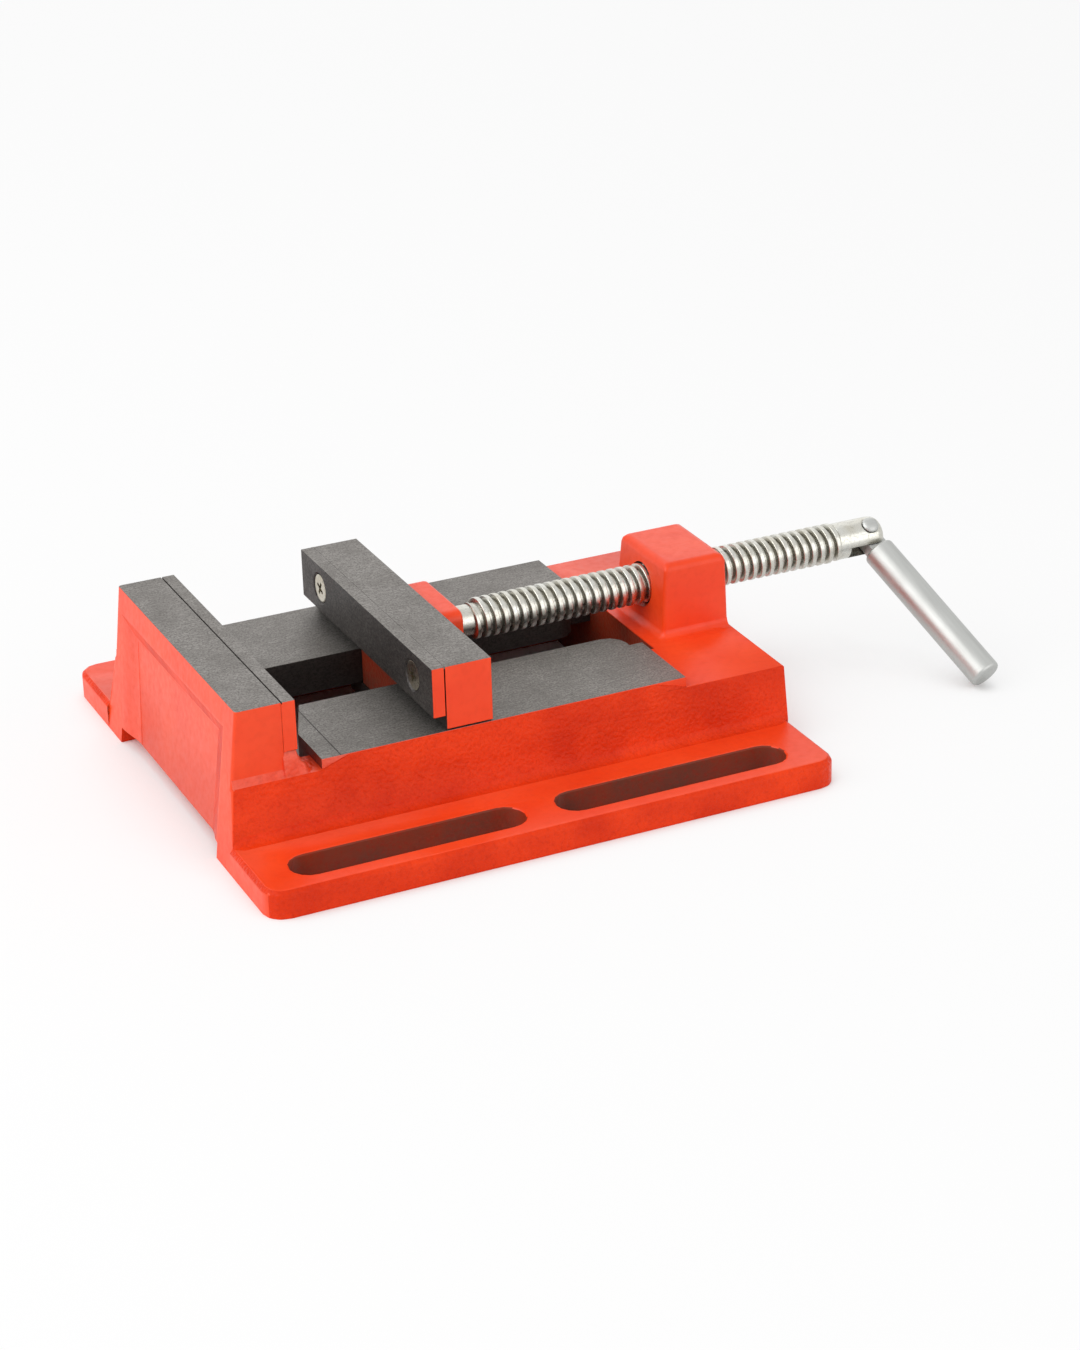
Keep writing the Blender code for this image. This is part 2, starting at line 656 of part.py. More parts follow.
def build_movable_jaw(material):
    """Jaw block with the boss of the screw and the tongue between the rails."""
    jaw = block("movable_jaw", (JAW_SEAT, JAW_REAR), JAW_WIDTH / 2, (JAW_UNDERSIDE, JAW_HEIGHT),
                material)
    quarter = math.pi / 2
    side = BOSS_WIDTH / 2
    boss = [(-side, JAW_UNDERSIDE), (side, JAW_UNDERSIDE)]
    boss += arc(side - BOSS_EDGE, BOSS_TOP - BOSS_EDGE, BOSS_EDGE, 0, quarter)
    boss += arc(BOSS_EDGE - side, BOSS_TOP - BOSS_EDGE, BOSS_EDGE, quarter, 2 * quarter)
    join(jaw, lengthwise("boss", boss, JAW_REAR - MOVABLE_JAW_THICKNESS / 2, BOSS_REAR))
    join(jaw, block("tongue", (JAW_SEAT, TONGUE_END), TONGUE_HALF_WIDTH,
                    (TONGUE_UNDERSIDE, JAW_UNDERSIDE + SLIDE_GAP)))

    bore = JOURNAL_RADIUS + SEAT_GAP
    bore_end = BOSS_REAR - JOURNAL_DEPTH - HOLE_END_GAP
    cut(jaw, turned("journal_bore", [(bore_end, bore), (BOSS_REAR + OVERRUN, bore)], "X",
                    (0, 0, SCREW_HEIGHT)))
    entry = TONGUE_UNDERSIDE - OVERRUN
    pin_hole = [(entry, RETAINING_PIN_RADIUS + SEAT_GAP),
                (RETAINING_PIN_TOP + SEAT_GAP, RETAINING_PIN_RADIUS + SEAT_GAP)]
    bolt_hole = [(entry, BOLT_RADIUS + SEAT_GAP),
                 (TONGUE_UNDERSIDE + BOLT_GRIP + HOLE_END_GAP, BOLT_RADIUS + SEAT_GAP)]
    for side in (-1, 1):
        pin_centre = (RETAINING_PIN_SETBACK, side * RETAINING_PIN_SIDE, 0)
        cut(jaw, turned("pin_hole", pin_hole, "Z", pin_centre))
        bolt_centre = (TONGUE_CENTRE + side * BOLT_SPACING / 2, 0, 0)
        cut(jaw, turned("bolt_hole", bolt_hole, "Z", bolt_centre))
    plate_screw_holes(jaw, JAW_SEAT - OVERRUN, PLATE_SCREW_DROP + PLATE_SCREW_LENGTH + HOLE_END_GAP)
    return jaw


def build_retaining_pin(name, material):
    """Upright pin that runs in the groove of the screw's journal, with its top at zero."""
    slim = RETAINING_PIN_RADIUS - RETAINING_PIN_CHAMFER
    profile = [(-RETAINING_PIN_LENGTH, slim),
               (RETAINING_PIN_CHAMFER - RETAINING_PIN_LENGTH, RETAINING_PIN_RADIUS),
               (-RETAINING_PIN_CHAMFER, RETAINING_PIN_RADIUS), (0, slim)]
    return turned(name, profile, "Z", material=material)


def build_keeper(material):
    """Plate that hooks the jaw under both rails, with its upper face at zero."""
    outline = rounded_rectangle(-KEEPER_LENGTH / 2, KEEPER_LENGTH / 2, KEEPER_WIDTH, KEEPER_CORNER)
    keeper = upright("keeper_plate", outline, -KEEPER_THICKNESS, 0, material)
    radius = BOLT_RADIUS + SEAT_GAP
    for side in (-1, 1):
        hole = [(-KEEPER_THICKNESS - OVERRUN, radius), (OVERRUN, radius)]
        cut(keeper, turned("bolt_hole", hole, "Z", (side * BOLT_SPACING / 2, 0, 0)))
    return keeper


def hexagon_radius(angle, across_flats):
    """Distance from the middle of a hexagon to its side in one direction."""
    sector = math.pi / 3
    from_middle = (angle % sector) - sector / 2
    return across_flats / 2 / math.cos(from_middle)


def build_bolt(name, length, material):
    """Hexagon bolt pointing up, with the underside of its head at zero."""
    angles = [2 * math.pi * step / ROUND_STEPS for step in range(ROUND_STEPS)]

    def ring(height, radii):
        return [on_axis("Z", height, radius, angle) for radius, angle in zip(radii, angles)]

    def round_ring(height, radius):
        return ring(height, [radius] * ROUND_STEPS)

    flats = [hexagon_radius(angle, BOLT_HEAD_WIDTH) for angle in angles]
    top = -BOLT_HEAD_THICKNESS
    rings = [round_ring(top, BOLT_HEAD_WIDTH / 2 - BOLT_CHAMFER), ring(top + BOLT_CHAMFER, flats),
             ring(0, flats), round_ring(0, BOLT_RADIUS), round_ring(length - BOLT_CHAMFER, BOLT_RADIUS),
             round_ring(length, BOLT_RADIUS - BOLT_CHAMFER)]
    return loft(name, rings, material)


def build_keeper_fasteners(parent, word, side, bolt_material, washer_material):
    """One keeper bolt with its flat washer and its spring washer."""
    setback = TONGUE_CENTRE + side * BOLT_SPACING / 2
    inner = BOLT_RADIUS + SEAT_GAP
    flat_top = KEEPER_UNDERSIDE - SEAT_GAP
    spring_top = flat_top - WASHER_THICKNESS - SEAT_GAP
    head_top = spring_top - WASHER_THICKNESS - SEAT_GAP
    flat = washer("keeper_flat_washer_" + word, inner, WASHER_RADIUS, -WASHER_THICKNESS, 0,
                  material=washer_material)
    place(flat, parent, (setback, 0, flat_top))
    spring = washer("keeper_spring_washer_" + word, inner, SPRING_WASHER_RADIUS, -WASHER_THICKNESS, 0,
                    SPRING_WASHER_SPLIT, washer_material)
    place(spring, parent, (setback, 0, spring_top))
    bolt_length = TONGUE_UNDERSIDE + BOLT_GRIP - head_top
    place(build_bolt("keeper_bolt_" + word, bolt_length, bolt_material), parent, (setback, 0, head_top))


# Lead screw, rivet and handle, with X along the screw from the rear of the jaw's boss


def build_lead_screw(material):
    """Journal with its groove, neck, trapezoidal thread and forked plain end."""
    tip = -JOURNAL_DEPTH
    groove_start = tip + GROOVE_FROM_TIP
    groove_end = groove_start + GROOVE_WIDTH
    front = [(tip, JOURNAL_RADIUS - TIP_CHAMFER), (tip + TIP_CHAMFER, JOURNAL_RADIUS),
             (groove_start, JOURNAL_RADIUS), (groove_start, GROOVE_RADIUS),
             (groove_end, GROOVE_RADIUS), (groove_end, JOURNAL_RADIUS),
             (NECK_LENGTH - THREAD_RELIEF, JOURNAL_RADIUS)]
    rear = [(THREAD_END + THREAD_RELIEF, JOURNAL_RADIUS),
            (THREAD_END + 2 * THREAD_RELIEF, PLAIN_END_RADIUS)]
    rear += arc(SCREW_LENGTH - END_ROUNDING, PLAIN_END_RADIUS - END_ROUNDING, END_ROUNDING,
                math.pi / 2, 0)
    screw = threaded("lead_screw", front, rear, THREAD_TURNS, NECK_LENGTH, THREAD_RADIUS,
                     JOURNAL_RADIUS, THREAD_CREST, THREAD_STEPS // 2, material)

    reach = PLAIN_END_RADIUS + OVERRUN
    slot_range = (SCREW_LENGTH - FORK_SLOT_LENGTH, SCREW_LENGTH + OVERRUN)
    cut(screw, block("fork_slot", slot_range, reach, (-FORK_SLOT_WIDTH / 2, FORK_SLOT_WIDTH / 2)))
    pin_centre = (HANDLE_PIN_PLACE, 0, 0)
    hole = HANDLE_PIN_RADIUS + SEAT_GAP
    cut(screw, turned("pin_hole", [(-reach, hole), (reach, hole)], "Z", pin_centre))
    for side in (-1, 1):
        spot_face = [(side * SPOT_FACE_HEIGHT, SPOT_FACE_RADIUS), (side * reach, SPOT_FACE_RADIUS)]
        cut(screw, turned("spot_face", spot_face, "Z", pin_centre))
    return screw


def build_handle_pin(material):
    """Rivet with two domed heads, through the fork of the screw."""
    base = SPOT_FACE_HEIGHT + SEAT_GAP
    share_of_quarter = [(step + 1) / (CORNER_STEPS + 1) for step in range(CORNER_STEPS)]
    angles = [0] + [math.pi / 2 * share for share in share_of_quarter]
    head = [(base, HANDLE_PIN_RADIUS)]
    for angle in angles:
        head.append((base + RIVET_HEAD_HEIGHT * math.sin(angle), RIVET_HEAD_RADIUS * math.cos(angle)))
    lower_head = [(-distance, radius) for distance, radius in reversed(head)]
    return turned("handle_pin", lower_head + head, "Z", material=material)


def build_handle(material):
    """Round bar with a flat tongue that swings on the rivet."""
    bar = [(HANDLE_SHOULDER, HANDLE_RADIUS - HANDLE_CHAMFER),
           (HANDLE_SHOULDER + HANDLE_CHAMFER, HANDLE_RADIUS),
           (HANDLE_LENGTH - HANDLE_CHAMFER, HANDLE_RADIUS),
           (HANDLE_LENGTH, HANDLE_RADIUS - HANDLE_CHAMFER)]
    handle = turned("handle", bar, "X", material=material)
    half_thickness = HANDLE_TONGUE_THICKNESS / 2
    half_width = math.sqrt((HANDLE_RADIUS - HANDLE_CHAMFER) ** 2 - half_thickness ** 2)
    tongue = arc(0, 0, half_width, math.pi / 2, 3 * math.pi / 2, 2 * SLOT_STEPS)
    overlap = HANDLE_SHOULDER + HANDLE_RADIUS
    tongue += [(overlap, -half_width), (overlap, half_width)]
    join(handle, upright("tongue", tongue, -half_thickness, half_thickness))
    hole = HANDLE_PIN_RADIUS + SEAT_GAP
    cut(handle, turned("pin_hole", [(-HANDLE_RADIUS, hole), (HANDLE_RADIUS, hole)], "Z"))
    return handle


def build_vise():
    """Every piece on its empty."""
    paint = make_material("red_paint", (0.82, 0.07, 0.02), 0.0, 0.35)
    dark_steel = make_material("ground_steel", (0.10, 0.095, 0.09), 0.8, 0.45)
    zinc = make_material("zinc_plate", (0.55, 0.54, 0.50), 1.0, 0.30)
    bright_steel = make_material("bright_steel", (0.60, 0.60, 0.60), 1.0, 0.25)

    bench = make_empty("base_front_edge", None, (-OVERALL_LENGTH / 2, 0, 0))
    carriage = make_empty("jaw_carriage", bench, (MOVABLE_FACE, 0, 0))
    screw_axis = make_empty("screw_axis", carriage, (BOSS_REAR, 0, SCREW_HEIGHT), (SCREW_TURN, 0, 0))

    place(build_base(paint), bench)
    build_plate_set("fixed", bench, FIXED_FACE, -1, dark_steel, bright_steel)

    place(build_movable_jaw(paint), carriage)
    build_plate_set("movable", carriage, 0, 1, dark_steel, bright_steel)
    for side, word in ((1, "left"), (-1, "right")):
        pin = build_retaining_pin("screw_retaining_pin_" + word, bright_steel)
        location = (RETAINING_PIN_SETBACK, side * RETAINING_PIN_SIDE, RETAINING_PIN_TOP)
        place(pin, carriage, location)
    place(build_keeper(dark_steel), carriage, (TONGUE_CENTRE, 0, KEEPER_TOP))
    for side, word in ((-1, "front"), (1, "rear")):
        build_keeper_fasteners(carriage, word, side, zinc, zinc)

    place(build_lead_screw(zinc), screw_axis)
    place(build_handle_pin(bright_steel), screw_axis, (HANDLE_PIN_PLACE, 0, 0))
    handle = build_handle(bright_steel)
    place(handle, screw_axis, (HANDLE_PIN_PLACE, 0, 0))
    handle.rotation_euler = (0, 0, -HANDLE_FOLD)


clear_scene()
build_vise()
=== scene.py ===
# %% [markdown]
# # A drill press vise in red paint and ground steel
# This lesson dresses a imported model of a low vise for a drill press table. The model already has
# every piece at its real place and size, but its edges are sharp and its colours are plain.
# Here it is first set in a small white studio, and then each piece gets the rounded edges, the
# paint, the machined faces and the thread of the real thing.

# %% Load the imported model
import math

import bmesh
import bpy
from mathutils import Matrix, Vector
from mathutils.noise import noise as noise_at


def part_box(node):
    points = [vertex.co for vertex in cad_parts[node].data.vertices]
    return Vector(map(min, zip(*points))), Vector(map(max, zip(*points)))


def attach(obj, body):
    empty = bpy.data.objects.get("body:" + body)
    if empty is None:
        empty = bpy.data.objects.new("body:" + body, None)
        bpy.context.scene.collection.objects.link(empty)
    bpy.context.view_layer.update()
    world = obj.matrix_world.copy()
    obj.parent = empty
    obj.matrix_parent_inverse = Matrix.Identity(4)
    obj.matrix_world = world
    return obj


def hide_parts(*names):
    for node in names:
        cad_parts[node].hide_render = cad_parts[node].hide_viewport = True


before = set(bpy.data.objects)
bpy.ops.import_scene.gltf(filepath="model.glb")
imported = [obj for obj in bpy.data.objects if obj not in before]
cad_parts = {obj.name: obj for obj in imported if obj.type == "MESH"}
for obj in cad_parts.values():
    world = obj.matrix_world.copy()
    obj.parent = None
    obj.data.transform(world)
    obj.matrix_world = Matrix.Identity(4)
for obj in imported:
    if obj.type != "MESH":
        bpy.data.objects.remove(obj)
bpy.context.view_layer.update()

MM = 0.001

# %% [markdown]
# ## Where things are
# Distances along the vise are told from the front edge of the base, as a machinist would
# measure them. The box of the base casting gives that edge, the rear end and the height of the
# jaws, so these are never written a second time.

# %% Find the main places
base_low, base_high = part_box("base_casting")
RAIL_TOP = 27.6 * MM
RAIL_UNDERSIDE = 16.5 * MM
SHOULDER_TOP = 24.6 * MM
FLANGE_TOP = 8.3 * MM
CHAMFER = 1.2 * MM
SCREW_HEIGHT = 36.3 * MM
jaw_top = base_high.z


def station(distance):
    """The X of a place that lies this far behind the front edge of the base."""
    return base_low.x + distance


print("jaws", round(jaw_top / MM, 1), "mm high, base", round((base_high.x - base_low.x) / MM, 1), "mm long")

# %% [markdown]
# ## The camera
# A photograph of a small thing from nearly a metre away has little perspective, which is a long
# lens in Blender. The camera looks down by about twenty five degrees from the front left. Its
# axes are built from these angles, which is easier to check than a quaternion.

# %% Place the camera
CAMERA_PLACE = Vector((-369.7, -791.1, 415.8)) * MM
CAMERA_AZIMUTH = math.radians(-24.67)
CAMERA_ELEVATION = math.radians(24.83)
CAMERA_ROLL = math.radians(-1.56)
PICTURE_HEIGHT = 1350
FOCAL_LENGTH_IN_PIXELS = 3160.2

back = Vector((math.sin(CAMERA_AZIMUTH) * math.cos(CAMERA_ELEVATION),
               -math.cos(CAMERA_AZIMUTH) * math.cos(CAMERA_ELEVATION),
               math.sin(CAMERA_ELEVATION)))
right = Vector((math.cos(CAMERA_AZIMUTH), math.sin(CAMERA_AZIMUTH), 0))
up = back.cross(right)
rolled_right = right * math.cos(CAMERA_ROLL) + up * math.sin(CAMERA_ROLL)
rolled_up = up * math.cos(CAMERA_ROLL) - right * math.sin(CAMERA_ROLL)
axes = Matrix((rolled_right, rolled_up, back)).transposed()

lens = bpy.data.cameras.new("photo_lens")
lens.lens = FOCAL_LENGTH_IN_PIXELS / PICTURE_HEIGHT * lens.sensor_width
camera = bpy.data.objects.new("photo_camera", lens)
camera.matrix_world = Matrix.Translation(CAMERA_PLACE) @ axes.to_4x4()
bpy.context.scene.collection.objects.link(camera)
bpy.context.scene.camera = camera
print("lens", round(lens.lens, 1), "mm")

# %% [markdown]
# ## The studio
# The vise stands on a white table that runs into a white background, and its shadows are soft
# and faint. A world of even light does most of the work. It is about half as strong for the
# surfaces that it lights as for what the camera and the reflections see, so the paint keeps its
# colour and the steel still mirrors a white room.

# %% Light the room
WORLD_LIGHT = 0.55
WHITE = (1.0, 1.0, 1.0, 1.0)

bpy.context.scene.view_settings.view_transform = "Standard"
world = bpy.data.worlds.new("white_room")
world.use_nodes = True
bpy.context.scene.world = world


def seen_directly(tree):
    """One for rays from the camera, a mirror or a glass, and zero for rays that light a surface."""
    path = tree.nodes.new("ShaderNodeLightPath")
    seen = path.outputs["Is Camera Ray"]
    for ray in ("Is Glossy Ray", "Is Transmission Ray"):
        either = tree.nodes.new("ShaderNodeMath")
        either.operation = "MAXIMUM"
        tree.links.new(seen, either.inputs[0])
        tree.links.new(path.outputs[ray], either.inputs[1])
        seen = either.outputs["Value"]
    return seen


strength = world.node_tree.nodes.new("ShaderNodeMapRange")
strength.inputs["To Min"].default_value = WORLD_LIGHT
strength.inputs["To Max"].default_value = 1.0
world.node_tree.links.new(seen_directly(world.node_tree), strength.inputs["Value"])
background = world.node_tree.nodes["Background"]
background.inputs["Color"].default_value = WHITE
world.node_tree.links.new(strength.outputs["Result"], background.inputs["Strength"])
print("world light", WORLD_LIGHT)

# %% [markdown]
# Three large soft lamps shape the vise. The main one hangs above and to the left, and gives the
# faint shadows. A weaker one stands behind and gives the screw and the handle their bright upper
# edges. The third stands low in front and brings out the full red of the side walls.

# %% Hang the lamps
def soft_lamp(name, place, side, power):
    """A square lamp that looks at the middle of the vise."""
    light = bpy.data.lights.new(name, "AREA")
    light.size = side
    light.energy = power
    lamp = bpy.data.objects.new(name, light)
    lamp.location = place
    lamp.rotation_euler = (-place).to_track_quat("-Z", "Y").to_euler()
    bpy.context.scene.collection.objects.link(lamp)


LAMP_SIDE = 1400 * MM
KEY_PLACE = Vector((-1100, 0, 1000)) * MM
KEY_POWER = 13.0
BACK_PLACE = Vector((300, 1100, 700)) * MM
BACK_POWER = 2.0
FRONT_PLACE = Vector((500, -1250, 350)) * MM
FRONT_POWER = 6.5
soft_lamp("key_lamp", KEY_PLACE, LAMP_SIDE, KEY_POWER)
soft_lamp("back_lamp", BACK_PLACE, LAMP_SIDE, BACK_POWER)
soft_lamp("front_lamp", FRONT_PLACE, LAMP_SIDE, FRONT_POWER)
print("lamps", len(bpy.data.lights))

# %% [markdown]
# The floor is one large plane. It is nearly white, and for rays that see it directly it is
# mixed with plain white light, which lifts it to the paper white of the photograph and leaves
# a part of the shadow. Where something stands close above the floor it isn't lifted, so that it
# stays dark under the vise and inside its openings.

# %% Lay the floor
FLOOR_HALF_SIDE = 6000 * MM
FLOOR_COLOUR = (0.94, 0.94, 0.94, 1.0)
FLOOR_LIFT_SHARE = 0.78
SHADE_REACH = 60 * MM
SHUT_SHARE = 0.40
OPEN_SHARE = 0.78

floor_mesh = bpy.data.meshes.new("floor")
signs = ((-1, -1), (1, -1), (1, 1), (-1, 1))
corners = [(u * FLOOR_HALF_SIDE, v * FLOOR_HALF_SIDE, 0) for u, v in signs]
floor_mesh.from_pydata(corners, [], [(0, 1, 2, 3)])
floor = bpy.data.objects.new("floor", floor_mesh)
bpy.context.scene.collection.objects.link(floor)
paper = bpy.data.materials.new("white_table")
paper.use_nodes = True
tree = paper.node_tree
matt = tree.nodes["Principled BSDF"]
matt.inputs["Base Color"].default_value = FLOOR_COLOUR
matt.inputs["Roughness"].default_value = 1.0
matt.inputs["Specular IOR Level"].default_value = 0
glow = tree.nodes.new("ShaderNodeEmission")
nearby = tree.nodes.new("ShaderNodeAmbientOcclusion")
nearby.inputs["Distance"].default_value = SHADE_REACH
open_floor = tree.nodes.new("ShaderNodeMapRange")
open_floor.inputs["From Min"].default_value = SHUT_SHARE
open_floor.inputs["From Max"].default_value = OPEN_SHARE
open_floor.inputs["To Max"].default_value = FLOOR_LIFT_SHARE
tree.links.new(nearby.outputs["AO"], open_floor.inputs["Value"])
lift = tree.nodes.new("ShaderNodeMath")
lift.operation = "MULTIPLY"
tree.links.new(seen_directly(tree), lift.inputs[0])
tree.links.new(open_floor.outputs["Result"], lift.inputs[1])
mixed = tree.nodes.new("ShaderNodeMixShader")
tree.links.new(lift.outputs["Value"], mixed.inputs["Fac"])
tree.links.new(matt.outputs["BSDF"], mixed.inputs[1])
tree.links.new(glow.outputs["Emission"], mixed.inputs[2])
tree.links.new(mixed.outputs["Shader"], tree.nodes["Material Output"].inputs["Surface"])
floor_mesh.materials.append(paper)
print("floor", round(2 * FLOOR_HALF_SIDE), "m wide")

# %% [markdown]
# ## Small helpers for the finishes
# Every finish below is a Principled shader whose colour, roughness and bump come from noise.
# The noise reads Object coordinates, which are metres on the piece itself, so one unit of noise
# scale is one pattern per metre and the pattern stays with the piece when it moves.

# %% Helpers for node materials
def new_finish(name, metallic, roughness):
    """A material with its tree, its surface shader and the object's own coordinates."""
    finish = bpy.data.materials.new(name)
    finish.use_nodes = True
    tree = finish.node_tree
    shader = tree.nodes["Principled BSDF"]
    shader.inputs["Metallic"].default_value = metallic
    shader.inputs["Roughness"].default_value = roughness
    place = tree.nodes.new("ShaderNodeTexCoord").outputs["Object"]
    return finish, tree, shader, place


def stretched(tree, place, along):
    """The coordinates with each axis multiplied, which draws a pattern out along the smallest one."""
    mapping = tree.nodes.new("ShaderNodeMapping")
    mapping.inputs["Scale"].default_value = along
    tree.links.new(place, mapping.inputs["Vector"])
    return mapping.outputs["Vector"]


def noise(tree, place, size, detail=2.0, roughness=0.5):
    """A noise whose blotches are about this size."""
    texture = tree.nodes.new("ShaderNodeTexNoise")
    texture.inputs["Scale"].default_value = 1 / size
    texture.inputs["Detail"].default_value = detail
    texture.inputs["Roughness"].default_value = roughness
    tree.links.new(place, texture.inputs["Vector"])
    return texture.outputs["Fac"]


def spread(tree, value, low, high, from_low=0.3, from_high=0.7):
    """A value mapped to another span and held within it."""
    mapped = tree.nodes.new("ShaderNodeMapRange")
    mapped.inputs["From Min"].default_value = from_low
    mapped.inputs["From Max"].default_value = from_high
    mapped.inputs["To Min"].default_value = low
    mapped.inputs["To Max"].default_value = high
    tree.links.new(value, mapped.inputs["Value"])
    return mapped.outputs["Result"]


def blended(tree, share, first, second):
    """Two colours, or sockets of colour, mixed by a share."""
    mix = tree.nodes.new("ShaderNodeMix")
    mix.data_type = "RGBA"
    tree.links.new(share, mix.inputs["Factor"])
    for colour, socket in ((first, mix.inputs["A"]), (second, mix.inputs["B"])):
        if isinstance(colour, bpy.types.NodeSocket):
            tree.links.new(colour, socket)
        else:
            socket.default_value = (*colour, 1.0)
    return mix.outputs["Result"]


def bumped(tree, shader, height, depth, strength):
    """Lumps of this depth on the shader's surface, added to those that it already has."""
    bump = tree.nodes.new("ShaderNodeBump")
    bump.inputs["Strength"].default_value = strength
    bump.inputs["Distance"].default_value = depth
    tree.links.new(height, bump.inputs["Height"])
    if shader.inputs["Normal"].is_linked:
        tree.links.new(shader.inputs["Normal"].links[0].from_socket, bump.inputs["Normal"])
    tree.links.new(bump.outputs["Normal"], shader.inputs["Normal"])


# %% [markdown]
# ## Red paint
# The castings are sand cast iron, brushed or sprayed with a thick glossy red. On the drafted
# side walls the grain of the sand shows through as lumps a millimetre or two across. On the
# flange, the jaw ends and the tops the iron was smoother, and so is the paint. The rough paint
# of the walls is also a darker red, which is painted shade, as the walls get less light than the
# ends and tops. One function makes every kind of it, from two reds, the size and relief of its
# lumps, the share of painted shade in the hollows of the lumps, and its shine.

# %% Mix the paint
PAINT_RED = (0.90, 0.055, 0.008)
PAINT_LIGHT = (0.96, 0.075, 0.014)
PAINT_SHADY = (0.70, 0.032, 0.004)
PAINT_HOLLOW_SHADE = (0.42, 0.010, 0.001)
PAINT_HIGHLIGHT = (0.85, 0.17, 0.11)
PAINT_INNER_SHADE = (0.30, 0.040, 0.016)
PAINT_INNER_DEEP_SHADE = (0.16, 0.050, 0.032)
SMOOTH_SHINE = 1.40
ROUGH_SHINE = 1.22
CLOUD_SIZE = 16 * MM
CLOUD_RELIEF = 0.3 * MM
ROUGH_GRAIN = 1.1 * MM
ROUGH_RELIEF = 0.45 * MM
SMOOTH_GRAIN = 2.2 * MM
SMOOTH_RELIEF = 0.07 * MM
HIGHLIGHT_GRAIN = 1.6 * MM
HIGHLIGHT_RELIEF = 0.40 * MM
INNER_SHADE_GRAIN = 1.2 * MM
INNER_SHADE_RELIEF = 0.15 * MM


def red_paint(name, colours, lump, relief, hollow_shade, shine):
    """Thick paint over iron in two reds, with lumps of this size and relief, and painted shade in their
    hollows.
    """
    paint, tree, shader, place = new_finish(name, metallic=0.0, roughness=0.34)
    shader.inputs["IOR"].default_value = shine
    grain = noise(tree, place, lump, detail=3.0, roughness=0.5)
    clouds = noise(tree, place, CLOUD_SIZE, detail=2.0)
    tone = blended(tree, spread(tree, clouds, 0.0, 1.0), *colours)
    # Painted shade: the low spots of the grain are mixed towards a deep red.
    tone = blended(tree, spread(tree, grain, hollow_shade, 0.0, 0.30, 0.52), tone, PAINT_HOLLOW_SHADE)
    tree.links.new(tone, shader.inputs["Base Color"])
    tree.links.new(spread(tree, grain, 0.40, 0.30), shader.inputs["Roughness"])
    bumped(tree, shader, clouds, CLOUD_RELIEF, 0.3)
    bumped(tree, shader, grain, relief, 1.0)
    return paint


# Painted shade: the rough paint of the side walls is made of two darker reds.
rough_shaded_paint = red_paint("rough_shaded_red_paint", (PAINT_SHADY, PAINT_RED),
                        ROUGH_GRAIN, ROUGH_RELIEF, 0.20, ROUGH_SHINE)
smooth_paint = red_paint("smooth_red_paint", (PAINT_RED, PAINT_LIGHT),
                         SMOOTH_GRAIN, SMOOTH_RELIEF, 0.08, SMOOTH_SHINE)
# Painted highlight: a lighter, pinker red where rounded and upturned strips catch the light.
highlight_paint = red_paint("highlight_red_paint", (PAINT_HIGHLIGHT, PAINT_RED),
                         HIGHLIGHT_GRAIN, HIGHLIGHT_RELIEF, 0.22, SMOOTH_SHINE)
# Painted shade: a dark red-brown for the inside of the casting, its slots and the jaw's tongue.
inner_shade_paint = red_paint("inner_shade_red_paint", (PAINT_INNER_SHADE, PAINT_INNER_DEEP_SHADE),
                       INNER_SHADE_GRAIN, INNER_SHADE_RELIEF, 0.30, ROUGH_SHINE)
# Painted shade for the soft rim of the front recess: a darker, duller red.
shaded_paint = red_paint("shaded_red_paint", (PAINT_RED, PAINT_SHADY),
                         SMOOTH_GRAIN, SMOOTH_RELIEF, 0.08, ROUGH_SHINE)
print("paints", rough_shaded_paint.name, smooth_paint.name)

# %% [markdown]
# ## Machined iron and steel
# The tops of the jaws and rails were ground after painting, so they are bare metal: a mid grey
# with fine grinding lines and a speckle of pores. The faces of the jaw plates are darker, because
# they are blackened. The milled walls of the slots, the front ends of the rails and the bores are
# bare iron too, and their near-black tone is painted shade, as they lie deep between other parts.

# %% Grind the steel
MARK_SIZE = 0.7 * MM
PORE_SIZE = 0.6 * MM
STAIN_SIZE = 11 * MM
MARK_RELIEF = 0.05 * MM


def machined(name, light, dark, roughness, lines, metallic=0.85):
    """Bare metal between two greys, with tool marks drawn out along the smallest of three scales."""
    metal, tree, shader, place = new_finish(name, metallic, roughness)
    marks = noise(tree, stretched(tree, place, lines), MARK_SIZE, detail=3.0)
    pores = noise(tree, place, PORE_SIZE, detail=3.0, roughness=0.7)
    stains = noise(tree, place, STAIN_SIZE, detail=3.0)
    tone = blended(tree, spread(tree, marks, 0.0, 0.75), light, dark)
    tone = blended(tree, spread(tree, pores, 0.95, 0.0, 0.40, 0.52), tone, dark)
    tone = blended(tree, spread(tree, stains, 0.0, 0.35), tone, dark)
    tree.links.new(tone, shader.inputs["Base Color"])
    tree.links.new(spread(tree, stains, roughness - 0.03, roughness + 0.05), shader.inputs["Roughness"])
    bumped(tree, shader, marks, MARK_RELIEF, 0.5)
    bumped(tree, shader, pores, MARK_RELIEF, 1.0)
    return metal


ground_top = machined("ground_top", (0.32, 0.302, 0.282), (0.12, 0.110, 0.100), 0.50, (0.35, 2.0, 1.0))
# Painted shade: milled iron as near black as it looks deep between other parts.
milled_iron_in_shade = machined("milled_iron_in_shade", (0.075, 0.062, 0.056), (0.030, 0.024, 0.021), 0.5, (0.3, 1.0, 2.5), 0.6)
black_face = machined("blackened_face", (0.12, 0.108, 0.100), (0.020, 0.017, 0.016), 0.5,
                      (1.0, 0.5, 1.5), 0.5)
print("metals", ground_top.name, milled_iron_in_shade.name, black_face.name)

# %% [markdown]
# ## Zinc and bright steel
# The lead screw is zinc plated: bright, slightly warm, with dark scuffs, and darker in the
# grooves of its thread, which is painted shade. That darkness follows the distance from the
# screw's axis. The bar of the handle is plain drawn steel, a little duller and cooler, with faint
# lines along it.

